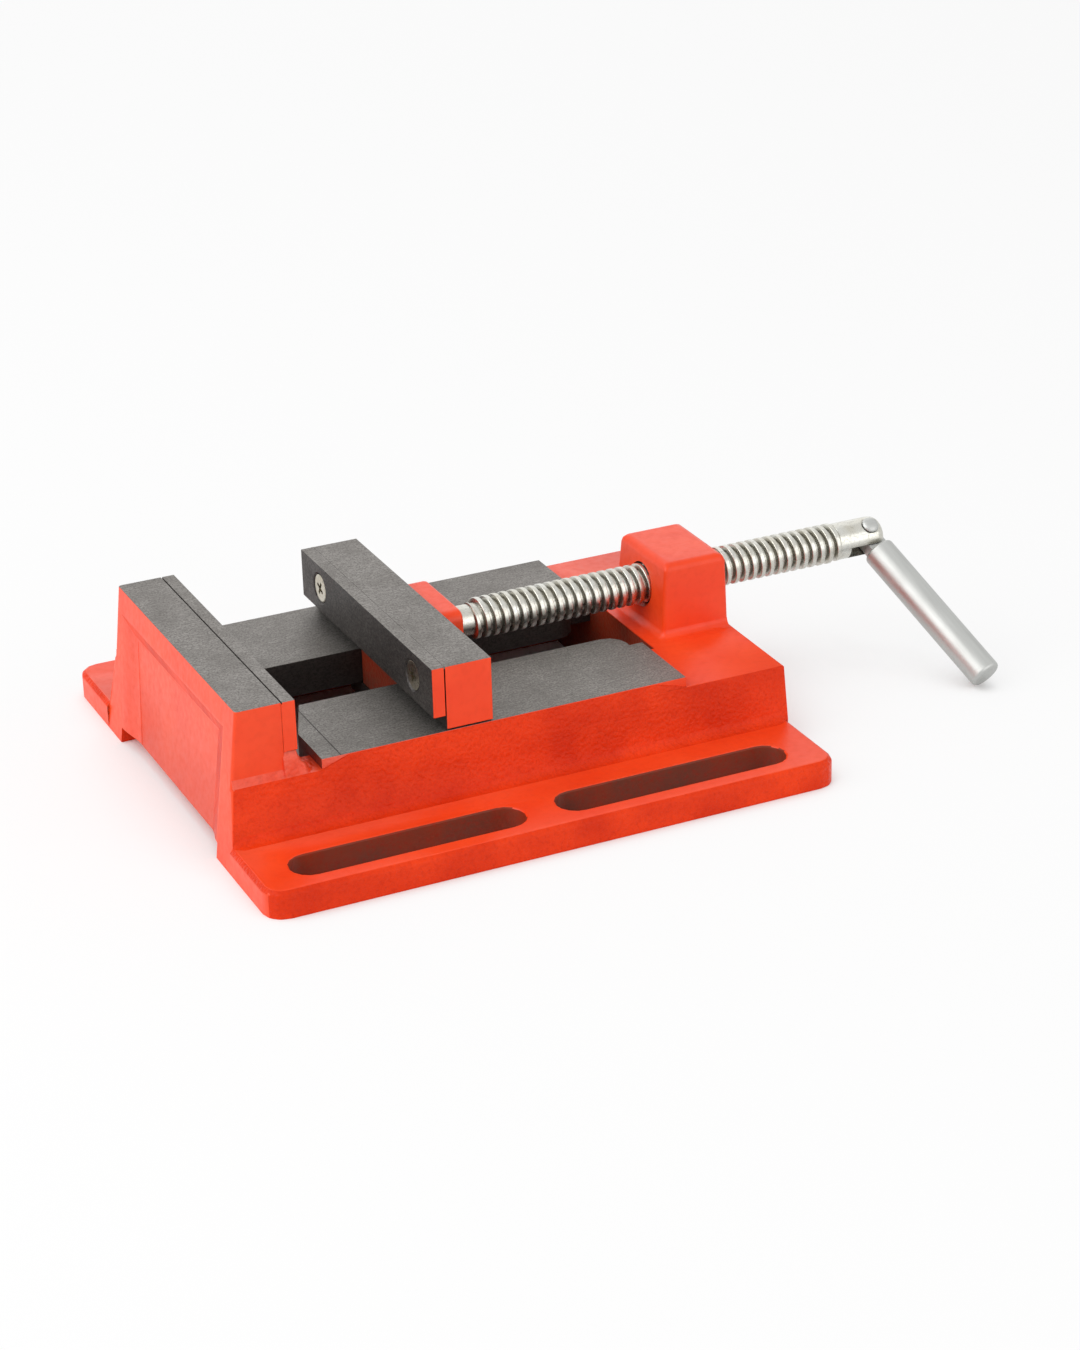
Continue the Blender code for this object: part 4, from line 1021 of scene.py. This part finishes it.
jaw_mesh = welded("movable_jaw")
everything = list(jaw_mesh.verts) + list(jaw_mesh.edges) + list(jaw_mesh.faces)
bmesh.ops.bisect_plane(jaw_mesh, geom=everything, plane_co=(0, 0, RAIL_TOP), plane_no=(0, 0, 1),
                       dist=SAME / 10)
for face in jaw_mesh.faces:
    face.material_index = jaw_finish(face)
jaw_edges = ((boss_foot, BOSS_FILLET, 3), (boss_rim, CAST_EDGE, 3), (jaw_edge, MACHINED_EDGE, 2))
for choose, radius, segments in jaw_edges:
    print(choose.__name__, rounded(jaw_mesh, choose, radius, segments))
finished("jaw_iron", jaw_mesh, casting_finishes, "movable_jaw", "red_paint", "movable_jaw")

# %% [markdown]
# ## The jaw plates
# Two steel plates are screwed to the jaws. They were ground on top together with the jaws and
# painted over at their ends. Paint fills the seam at the ends of the fixed plate, and the grinder
# smeared the seam on top of the movable one, so each of them shows only one dark line.

# %% Dress the jaw plates
plate_finishes = (black_face, smooth_paint, ground_top)
DARK, PAINTED, PLATE_TOP = range(3)
SEAM_WIDTH = 0.28 * MM
SMEAR = 0.6 * MM
SMEAR_INSET = 0.04 * MM


def plate_finish(face):
    """The finish of one face of a jaw plate."""
    if face.normal.z > LEVEL and near(face.calc_center_median().z, jaw_top):
        return PLATE_TOP
    if abs(face.normal.y) > LEVEL and near(abs(face.calc_center_median().y), JAW_END):
        return PAINTED
    return DARK


def plate_edge(edge):
    """The straight edges of a plate, and not those of its countersinks."""
    ends = [vert.co for vert in edge.verts]
    low, high = plate_box
    corners = [sum((near(end.x, low.x) or near(end.x, high.x), near(end.y, low.y) or near(end.y, high.y),
                    near(end.z, low.z) or near(end.z, high.z))) for end in ends]
    return outer(edge) and min(corners) > 1


for word, body in (("fixed", "base"), ("movable", "movable_jaw")):
    node = word + "_jaw_plate"
    plate_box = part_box(node)
    plate_mesh = welded(node)
    for face in plate_mesh.faces:
        face.material_index = plate_finish(face)
    print(node, rounded(plate_mesh, plate_edge, MACHINED_EDGE, 2))
    low, high = plate_box
    back_x, face_x = (low.x, high.x) if word == "fixed" else (high.x, low.x)
    towards = math.copysign(1, face_x - back_x)
    if word == "fixed":
        bridges = [((side * JAW_END, low.z), (side * (JAW_END - SMEAR), high.z - SMEAR), PAINTED)
                   for side in (-1, 1)]
    else:
        bridges = [((-JAW_END, high.z - SMEAR), (JAW_END, high.z), PLATE_TOP)]
    for (y, z), (other_y, other_z), finish_index in bridges:
        corners = ((y, z), (other_y, z), (other_y, other_z), (y, other_z))
        inset = [(y - math.copysign(SMEAR_INSET, y), min(z, high.z - SMEAR_INSET)) for y, z in corners]
        rings = [[Vector((back_x + towards * depth, y, z)) for y, z in inset]
                 for depth in (-SEAM_WIDTH, SMEAR)]
        lofted(plate_mesh, rings, finish_index)
    finished(word + "_plate", plate_mesh, plate_finishes, body, "ground_steel", node)

# %% [markdown]
# ## Geometry Nodes: trees as recipes
# A node tree is a recipe that Blender can run again with other sizes. Each one here gets named
# inputs, ends in Realize Instances and Set Material, and is run for each piece that it makes. The
# result is kept as a plain mesh, so that nothing depends on the tree any more.

# %% Helpers for node trees
def new_tree(name, lengths, counts=()):
    """A tree with these lengths, counts and a material as inputs, and its group nodes."""
    tree = bpy.data.node_groups.new(name, "GeometryNodeTree")
    for label in lengths:
        tree.interface.new_socket(label, in_out="INPUT", socket_type="NodeSocketFloat")
    for label in counts:
        tree.interface.new_socket(label, in_out="INPUT", socket_type="NodeSocketInt")
    tree.interface.new_socket("Material", in_out="INPUT", socket_type="NodeSocketMaterial")
    tree.interface.new_socket("Geometry", in_out="OUTPUT", socket_type="NodeSocketGeometry")
    return tree, tree.nodes.new("NodeGroupInput"), tree.nodes.new("NodeGroupOutput")


def add(tree, kind, sources=(), **settings):
    """A node with its settings, and with sources wired to the inputs of the same name."""
    node = tree.nodes.new(kind)
    for label, value in settings.items():
        setattr(node, label, value)
    for label, source in dict(sources).items():
        socket = node.inputs[label]
        if isinstance(source, bpy.types.NodeSocket):
            tree.links.new(source, socket)
        else:
            socket.default_value = source
    return node


def reckon(tree, operation, first, second):
    """The result of one sum on two numbers or sockets."""
    node = add(tree, "ShaderNodeMath", operation=operation)
    for socket, source in zip(node.inputs, (first, second)):
        if isinstance(source, bpy.types.NodeSocket):
            tree.links.new(source, socket)
        else:
            socket.default_value = source
    return node.outputs[0]


def finish_tree(tree, inputs, outputs, geometry):
    """End a tree in Realize Instances and Set Material."""
    real = add(tree, "GeometryNodeRealizeInstances", {"Geometry": geometry})
    dressed = add(tree, "GeometryNodeSetMaterial",
                  {"Geometry": real.outputs["Geometry"], "Material": inputs.outputs["Material"]})
    tree.links.new(dressed.outputs["Geometry"], outputs.inputs["Geometry"])


def grown(tree, sizes):
    """Run a tree with these sizes and give its result as a bmesh."""
    holder = bpy.data.objects.new("holder", bpy.data.meshes.new("holder"))
    bpy.context.scene.collection.objects.link(holder)
    modifier = holder.modifiers.new("recipe", "NODES")
    modifier.node_group = tree
    for item in tree.interface.items_tree:
        if item.name in sizes:
            modifier[item.identifier] = sizes[item.name]
    plain = bpy.data.meshes.new_from_object(holder.evaluated_get(bpy.context.evaluated_depsgraph_get()))
    holder.modifiers.remove(modifier)
    bpy.data.objects.remove(holder)
    mesh = bmesh.new()
    mesh.from_mesh(plain)
    return mesh


# %% [markdown]
# ## The screws of the jaw plates
# Each plate has two countersunk screws with a cross recess. They are the same, so one recipe
# makes the screw once and sets it on two points. The cross is cut by two bars that are taken
# out of the head. A random turn, with a fixed seed, keeps the crosses from lining up, as no one
# lines them up by hand either.

# %% Recipe for the plate screws
HEAD_STEPS = 48
CROWN_SPREAD = 3.0
tree, inputs, outputs = new_tree("countersunk_screws",
                                 ("Head Radius", "Shank Radius", "Length", "Edge", "Recess Length",
                                  "Recess Width", "Recess Depth", "Spacing"), ("Seed",))
sizes = inputs.outputs
cone_height = reckon(tree, "SUBTRACT", sizes["Head Radius"], sizes["Shank Radius"])
head = add(tree, "GeometryNodeMeshCone", {"Vertices": HEAD_STEPS, "Radius Top": sizes["Head Radius"],
                                          "Radius Bottom": sizes["Shank Radius"], "Depth": cone_height})
down = add(tree, "ShaderNodeCombineXYZ", {"Z": reckon(tree, "MULTIPLY", cone_height, -1.0)})
head = add(tree, "GeometryNodeTransform",
           {"Geometry": head.outputs["Mesh"], "Translation": down.outputs["Vector"]})
crown_slope = reckon(tree, "MULTIPLY", sizes["Edge"], CROWN_SPREAD)
crown = add(tree, "GeometryNodeMeshCone",
            {"Vertices": HEAD_STEPS, "Radius Bottom": sizes["Head Radius"], "Depth": sizes["Edge"],
             "Radius Top": reckon(tree, "SUBTRACT", sizes["Head Radius"], crown_slope)})
shank = add(tree, "GeometryNodeMeshCylinder",
            {"Vertices": HEAD_STEPS, "Radius": sizes["Shank Radius"], "Depth": sizes["Length"]})
sink = add(tree, "ShaderNodeCombineXYZ", {"Z": reckon(tree, "MULTIPLY", sizes["Length"], -0.5)})
shank = add(tree, "GeometryNodeTransform",
            {"Geometry": shank.outputs["Mesh"], "Translation": sink.outputs["Vector"]})
whole = add(tree, "GeometryNodeMeshBoolean", operation="UNION", solver="EXACT")
for part in (head, crown, shank):
    tree.links.new(part.outputs[0], whole.inputs["Mesh 2"])
bar = add(tree, "ShaderNodeCombineXYZ", {"X": sizes["Recess Length"], "Y": sizes["Recess Width"],
                                         "Z": reckon(tree, "MULTIPLY", sizes["Recess Depth"], 2.0)})
bar = add(tree, "GeometryNodeMeshCube", {"Size": bar.outputs["Vector"]})
cross_bar = add(tree, "GeometryNodeTransform",
                {"Geometry": bar.outputs["Mesh"], "Rotation": (0, 0, math.pi / 2)})
recessed = add(tree, "GeometryNodeMeshBoolean", operation="DIFFERENCE", solver="EXACT")
tree.links.new(whole.outputs["Mesh"], recessed.inputs["Mesh 1"])
for part in (bar, cross_bar):
    tree.links.new(part.outputs[0], recessed.inputs["Mesh 2"])
start = add(tree, "ShaderNodeCombineXYZ", {"Y": reckon(tree, "MULTIPLY", sizes["Spacing"], -0.5)})
step = add(tree, "ShaderNodeCombineXYZ", {"Y": sizes["Spacing"]})
points = add(tree, "GeometryNodeMeshLine", {"Count": 2, "Start Location": start.outputs["Vector"],
                                            "Offset": step.outputs["Vector"]})
angle = add(tree, "FunctionNodeRandomValue", {"Seed": sizes["Seed"]}, data_type="FLOAT")
angle.inputs[2].default_value = 0
angle.inputs[3].default_value = math.pi / 2
turned_by = add(tree, "ShaderNodeCombineXYZ", {"Z": angle.outputs[1]})
screws = add(tree, "GeometryNodeInstanceOnPoints",
             {"Points": points.outputs["Mesh"], "Instance": recessed.outputs["Mesh"],
              "Rotation": turned_by.outputs["Vector"]})
finish_tree(tree, inputs, outputs, screws.outputs["Instances"])
screw_tree = tree
print("nodes in the screw recipe", len(tree.nodes))

# %% Set the screws in both plates
SCREW_DROP = 0.3 * MM
COUNTERSINK_RADIUS = 5.1 * MM
HEAD_GAP = 0.75 * MM
HEAD_EDGE = 0.15 * MM
PLATE_SCREW_HEIGHT = 39.75 * MM
PLATE_SCREW_RADIUS = 2.5 * MM
PLATE_SCREW_LENGTH = 10.8 * MM
PLATE_SCREW_SPACING = 71.0 * MM
RECESS_LENGTH = 4.4 * MM
RECESS_WIDTH = 1.1 * MM
RECESS_DEPTH = 1.4 * MM
screw_sizes = {"Head Radius": COUNTERSINK_RADIUS - HEAD_GAP, "Shank Radius": PLATE_SCREW_RADIUS,
               "Length": PLATE_SCREW_LENGTH, "Edge": HEAD_EDGE, "Recess Length": RECESS_LENGTH,
               "Recess Width": RECESS_WIDTH, "Recess Depth": RECESS_DEPTH,
               "Spacing": PLATE_SCREW_SPACING, "Material": dull_zinc}
plate_sides = (("fixed", "base", 1, 7), ("movable", "movable_jaw", -1, 3))
for word, body, facing, seed in plate_sides:
    low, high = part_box(word + "_jaw_plate")
    face_x = high.x if facing > 0 else low.x
    screw_mesh = grown(screw_tree, {**screw_sizes, "Seed": seed})
    outwards = Matrix.Rotation(facing * math.pi / 2, 4, "Y")
    seat = Matrix.Translation((face_x - facing * SCREW_DROP, 0, PLATE_SCREW_HEIGHT))
    bmesh.ops.transform(screw_mesh, matrix=seat @ outwards, verts=screw_mesh.verts)
    left, right_side = (f"{word}_plate_screw_{side}" for side in ("left", "right"))
    finished(word + "_plate_screws", screw_mesh, (dull_zinc,), body, "bright_steel", left, right_side)
print("plate screws", len(plate_sides) * 2)

# %% [markdown]
# ## The lead screw
# A trapezoidal thread follows one simple rule, a turn for each three millimetres, so it is a
# curve before it is a mesh. The recipe draws a spiral at the root of the thread, carries a small
# trapezoid with rounded corners along it, and lets the trapezoid shrink at both ends, where the
# real cutter runs out. The core of the screw is a separate turned bar that closes it inside.

# %% Recipe for the thread
END_SHARE = 0.0125
TIP_SCALE = 0.08
tree, inputs, outputs = new_tree("trapezoidal_thread",
                                 ("Root Radius", "Pitch", "Turns", "Ridge Height", "Ridge Base",
                                  "Ridge Crest", "Corner", "Sunk"), ("Steps Per Turn",))
sizes = inputs.outputs
thread_length = reckon(tree, "MULTIPLY", sizes["Pitch"], sizes["Turns"])
spiral = add(tree, "GeometryNodeCurveSpiral",
             {"Resolution": sizes["Steps Per Turn"], "Rotations": sizes["Turns"],
              "Start Radius": sizes["Root Radius"], "End Radius": sizes["Root Radius"],
              "Height": thread_length, "Reverse": True})
level = add(tree, "GeometryNodeSetCurveNormal", {"Curve": spiral.outputs["Curve"]}, mode="Z_UP")
whole_height = reckon(tree, "ADD", sizes["Ridge Height"], sizes["Sunk"])
profile = add(tree, "GeometryNodeCurvePrimitiveQuadrilateral",
              {"Height": whole_height, "Bottom Width": sizes["Ridge Base"], "Top Width": sizes["Ridge Crest"],
               "Offset": 0.0}, mode="TRAPEZOID")
softened = add(tree, "GeometryNodeFilletCurve",
               {"Curve": profile.outputs["Curve"], "Radius": sizes["Corner"], "Count": 2,
                "Limit Radius": True}, mode="POLY")
lift = add(tree, "ShaderNodeCombineXYZ",
           {"X": reckon(tree, "SUBTRACT", reckon(tree, "MULTIPLY", whole_height, 0.5), sizes["Sunk"])})
outwards = add(tree, "GeometryNodeTransform",
               {"Geometry": softened.outputs["Curve"], "Translation": lift.outputs["Vector"],
                "Rotation": (0, 0, -math.pi / 2)})
along = add(tree, "GeometryNodeSplineParameter")
rise = add(tree, "ShaderNodeMapRange",
           {"Value": along.outputs["Factor"], "From Max": END_SHARE, "To Min": TIP_SCALE})
fall = add(tree, "ShaderNodeMapRange",
           {"Value": along.outputs["Factor"], "From Min": 1.0 - END_SHARE, "From Max": 1.0,
            "To Min": 1.0, "To Max": TIP_SCALE})
taper = reckon(tree, "MINIMUM", rise.outputs["Result"], fall.outputs["Result"])
ridge = add(tree, "GeometryNodeCurveToMesh",
            {"Curve": level.outputs["Curve"], "Profile Curve": outwards.outputs["Geometry"],
             "Scale": taper, "Fill Caps": True})
finish_tree(tree, inputs, outputs, ridge.outputs["Mesh"])
thread_tree = tree
print("nodes in the thread recipe", len(tree.nodes))

# %% Cut the thread and lay it round the screw
PITCH = 3.0 * MM
THREAD_TURNS = 42
RIDGE_BASE = 2.35 * MM
RIDGE_CREST = 1.4 * MM
NECK_LENGTH = 6.4 * MM
SCREW_TURN = math.radians(32.9)
THREAD_SUNK = 0.4 * MM
THREAD_LEAD_IN = 1.0 * MM
THREAD_CORNER = 0.3 * MM
STEPS_PER_TURN = 48
screw_frame = Matrix.Translation((BOSS_REAR, 0, SCREW_HEIGHT)) @ Matrix.Rotation(SCREW_TURN, 4, "X")
thread_mesh = grown(thread_tree, {"Root Radius": THREAD_ROOT, "Pitch": PITCH, "Turns": float(THREAD_TURNS),
                                  "Ridge Height": THREAD_DEPTH, "Ridge Base": RIDGE_BASE,
                                  "Ridge Crest": RIDGE_CREST, "Corner": THREAD_CORNER,
                                  "Sunk": THREAD_SUNK, "Steps Per Turn": STEPS_PER_TURN,
                                  "Material": thread_zinc})
z_to_x = Matrix(((0, 0, 1, 0), (1, 0, 0, 0), (0, 1, 0, 0), (0, 0, 0, 1)))
to_start = Matrix.Translation((NECK_LENGTH + THREAD_LEAD_IN, 0, 0))
bmesh.ops.transform(thread_mesh, matrix=screw_frame @ to_start @ z_to_x, verts=thread_mesh.verts)
bmesh.ops.recalc_face_normals(thread_mesh, faces=thread_mesh.faces)
print("thread faces", len(thread_mesh.faces), "closed", all(edge.is_manifold for edge in thread_mesh.edges))
finished("screw_thread", thread_mesh, (thread_zinc,), "lead_screw", "zinc_plate", "lead_screw")

# %% [markdown]
# ## Turned pieces
# The bar under the thread, the rivet and the handle were all turned on a lathe. The helper below
# works the same way: it takes an outline as distances and radii and spins it round the X axis.
# Slots and holes are cut afterwards with Boolean modifiers, as they were cut in the real ones.

# %% Helpers that turn and cut
ROUND_STEPS = 96


def arc(distance, radius, size, start, end, steps=8):
    """Outline points of a rounded edge, from one angle to another."""
    points = []
    for step in range(steps + 1):
        angle = start + (end - start) * step / steps
        points.append((distance + size * math.cos(angle), radius + size * math.sin(angle)))
    return points


def turned(outline, steps=ROUND_STEPS):
    """A closed round solid about X through (distance, radius) pairs."""
    mesh = bmesh.new()
    angles = [2 * math.pi * step / steps for step in range(steps)]
    rings = []
    for distance, radius in outline:
        points = [(distance, radius * math.cos(angle), radius * math.sin(angle)) for angle in angles]
        rings.append([mesh.verts.new(point) for point in points])
    for ring, next_ring in zip(rings, rings[1:]):
        for index in range(steps):
            after = (index + 1) % steps
            mesh.faces.new((ring[index], ring[after], next_ring[after], next_ring[index]))
    mesh.faces.new(rings[0])
    mesh.faces.new(rings[-1])
    bmesh.ops.recalc_face_normals(mesh, faces=mesh.faces)
    return mesh


def boxed(low, high):
    """A box between two corners, as a tool for cutting."""
    mesh = bmesh.new()
    bmesh.ops.create_cube(mesh, size=1.0)
    low, high = Vector(low), Vector(high)
    bmesh.ops.scale(mesh, vec=high - low, verts=mesh.verts)
    bmesh.ops.translate(mesh, vec=(low + high) / 2, verts=mesh.verts)
    return mesh


def slab(outline, half_thickness):
    """A flat solid with this outline in X and Y, centred on Z."""
    mesh = bmesh.new()
    lower = [mesh.verts.new((x, y, -half_thickness)) for x, y in outline]
    upper = [mesh.verts.new((x, y, half_thickness)) for x, y in outline]
    mesh.faces.new(lower)
    mesh.faces.new(upper)
    for index in range(len(outline)):
        after = (index + 1) % len(outline)
        mesh.faces.new((lower[index], lower[after], upper[after], upper[index]))
    bmesh.ops.recalc_face_normals(mesh, faces=mesh.faces)
    return mesh


def as_object(mesh):
    """A temporary object of a mesh."""
    data = bpy.data.meshes.new("tool")
    mesh.to_mesh(data)
    mesh.free()
    item = bpy.data.objects.new("tool", data)
    bpy.context.scene.collection.objects.link(item)
    return item


def combined(operation, solid, *tools):
    """A solid with tools cut out of it, or joined to it."""
    target = as_object(solid)
    cutters = [as_object(tool) for tool in tools]
    for cutter in cutters:
        modifier = target.modifiers.new("combine", "BOOLEAN")
        modifier.operation = operation
        modifier.solver = "EXACT"
        modifier.object = cutter
    plain = bpy.data.meshes.new_from_object(target.evaluated_get(bpy.context.evaluated_depsgraph_get()))
    for item in (target, *cutters):
        bpy.data.objects.remove(item)
    mesh = bmesh.new()
    mesh.from_mesh(plain)
    bmesh.ops.remove_doubles(mesh, verts=mesh.verts, dist=WELD / 10)
    return mesh


def in_frame(mesh, matrix):
    """The mesh moved into place."""
    bmesh.ops.transform(mesh, matrix=matrix, verts=mesh.verts)
    return mesh


# %% [markdown]
# The bar of the lead screw runs from a grooved journal inside the jaw, through a smooth neck and
# the core of the thread, to a thicker plain end. That end is forked for the handle, with a small
# flat face round each end of the rivet.

# %% Turn the bar of the lead screw
JOURNAL_DEPTH = 17.5 * MM
JOURNAL_CHAMFER = 1.0 * MM
GROOVE_RADIUS = 3.3 * MM
GROOVE_START = -13.5 * MM
GROOVE_END = -9.9 * MM
PLAIN_RADIUS = 5.8 * MM
PLAIN_LENGTH = 17.4 * MM
PLAIN_START = 131.4 * MM
PLAIN_CHAMFER = 1.0 * MM
END_ROUNDING = 3.4 * MM
FORK_LENGTH = 12.8 * MM
FORK_WIDTH = 5.2 * MM
PIN_FROM_END = 4.6 * MM
PIN_HOLE = 2.3 * MM
SPOT_RADIUS = 3.2 * MM
SPOT_HEIGHT = 5.1 * MM
REACH = 8.0 * MM

screw_end = PLAIN_START + PLAIN_LENGTH
pin_place = screw_end - PIN_FROM_END
bar_outline = [(-JOURNAL_DEPTH, THREAD_ROOT - JOURNAL_CHAMFER),
               (JOURNAL_CHAMFER - JOURNAL_DEPTH, THREAD_ROOT), (GROOVE_START, THREAD_ROOT),
               (GROOVE_START, GROOVE_RADIUS), (GROOVE_END, GROOVE_RADIUS), (GROOVE_END, THREAD_ROOT),
               (PLAIN_START, THREAD_ROOT), (PLAIN_START + PLAIN_CHAMFER, PLAIN_RADIUS)]
bar_outline += arc(screw_end - END_ROUNDING, PLAIN_RADIUS - END_ROUNDING, END_ROUNDING, math.pi / 2, 0)
fork_slot = boxed((screw_end - FORK_LENGTH, -REACH, -FORK_WIDTH / 2),
                  (screw_end + REACH, REACH, FORK_WIDTH / 2))
to_pin = Matrix.Translation((pin_place, 0, 0)) @ Matrix.Rotation(-math.pi / 2, 4, "Y")
pin_hole = in_frame(turned([(-REACH, PIN_HOLE), (REACH, PIN_HOLE)]), to_pin)
spot_faces = [in_frame(turned([(side * SPOT_HEIGHT, SPOT_RADIUS), (side * REACH, SPOT_RADIUS)]), to_pin)
              for side in (-1, 1)]
bar_mesh = combined("DIFFERENCE", turned(bar_outline), fork_slot, pin_hole, *spot_faces)
print("bar faces", len(bar_mesh.faces), "closed", all(edge.is_manifold for edge in bar_mesh.edges))
finished("screw_bar", in_frame(bar_mesh, screw_frame), (plain_zinc,), "lead_screw", "zinc_plate",
         "lead_screw")

# %% [markdown]
# The rivet has a domed head on each side. The handle is a plain bar with a flat tongue that
# turns on the rivet, folded down beside the screw as the photograph shows it.

# %% Turn the rivet and the handle
PIN_RADIUS = 2.0 * MM
HEAD_SEAT = 5.4 * MM
HEAD_HEIGHT = 1.3 * MM
RIVET_HEAD = 2.7 * MM
HANDLE_FOLD = math.radians(75.9)
HANDLE_RADIUS = 5.0 * MM
HANDLE_LENGTH = 60.3 * MM
HANDLE_SHOULDER = 6.3 * MM
HANDLE_EDGE = 1.1 * MM
TONGUE_THICKNESS = 4.4 * MM
TONGUE_END = 11.3 * MM
DOME_STEPS = 8
TONGUE_STEPS = 24
handle_frame = screw_frame @ Matrix.Translation((pin_place, 0, 0)) @ Matrix.Rotation(-HANDLE_FOLD, 4, "Z")
handle_steel = drawn_steel("drawn_handle_steel", handle_frame)

dome = []
for step in range(DOME_STEPS):
    angle = math.pi / 2 * step / DOME_STEPS
    dome.append((HEAD_SEAT + HEAD_HEIGHT * math.sin(angle), RIVET_HEAD * math.cos(angle)))
upper_half = [(HEAD_SEAT, PIN_RADIUS), *dome]
rivet_outline = [(-distance, radius) for distance, radius in reversed(upper_half)] + upper_half
rivet_mesh = in_frame(turned(rivet_outline, ROUND_STEPS // 2), screw_frame @ to_pin)
finished("rivet", rivet_mesh, (bright_steel,), "lead_screw", "bright_steel", "handle_pin")

flat_radius = HANDLE_RADIUS - HANDLE_EDGE
handle_outline = arc(HANDLE_SHOULDER + HANDLE_EDGE, flat_radius, HANDLE_EDGE, math.pi, math.pi / 2)
handle_outline += arc(HANDLE_LENGTH - HANDLE_EDGE, flat_radius, HANDLE_EDGE, math.pi / 2, 0)
half_width = math.sqrt(flat_radius ** 2 - (TONGUE_THICKNESS / 2) ** 2)
tongue_outline = arc(0, 0, half_width, math.pi / 2, 3 * math.pi / 2, TONGUE_STEPS)
tongue_outline += [(TONGUE_END, -half_width), (TONGUE_END, half_width)]
tongue = slab(tongue_outline, TONGUE_THICKNESS / 2)
handle_mesh = combined("UNION", turned(handle_outline), tongue)
eye = in_frame(turned([(-REACH, PIN_HOLE), (REACH, PIN_HOLE)]), Matrix.Rotation(-math.pi / 2, 4, "Y"))
handle_mesh = combined("DIFFERENCE", handle_mesh, eye)
print("handle faces", len(handle_mesh.faces), "closed", all(edge.is_manifold for edge in handle_mesh.edges))
finished("folding_bar", in_frame(handle_mesh, handle_frame), (handle_steel,), "handle",
         "bright_steel", "handle")

# %% [markdown]
# ## Pieces out of sight
# The keeper plate, its bolts and washers, and the two pins that hold the screw in the jaw can
# only be seen from below or not at all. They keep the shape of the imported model, and only get
# their finish.

# %% Finish the hidden pieces
hidden_finishes = {"keeper_plate": milled_iron_in_shade}
for end in ("front", "rear"):
    for kind in ("bolt", "flat_washer", "spring_washer"):
        hidden_finishes[f"keeper_{kind}_{end}"] = plain_zinc
for side in ("left", "right"):
    hidden_finishes["screw_retaining_pin_" + side] = bright_steel
for node, finish in hidden_finishes.items():
    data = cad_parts[node].data
    data.materials.clear()
    data.materials.append(finish)
print("hidden pieces", len(hidden_finishes))
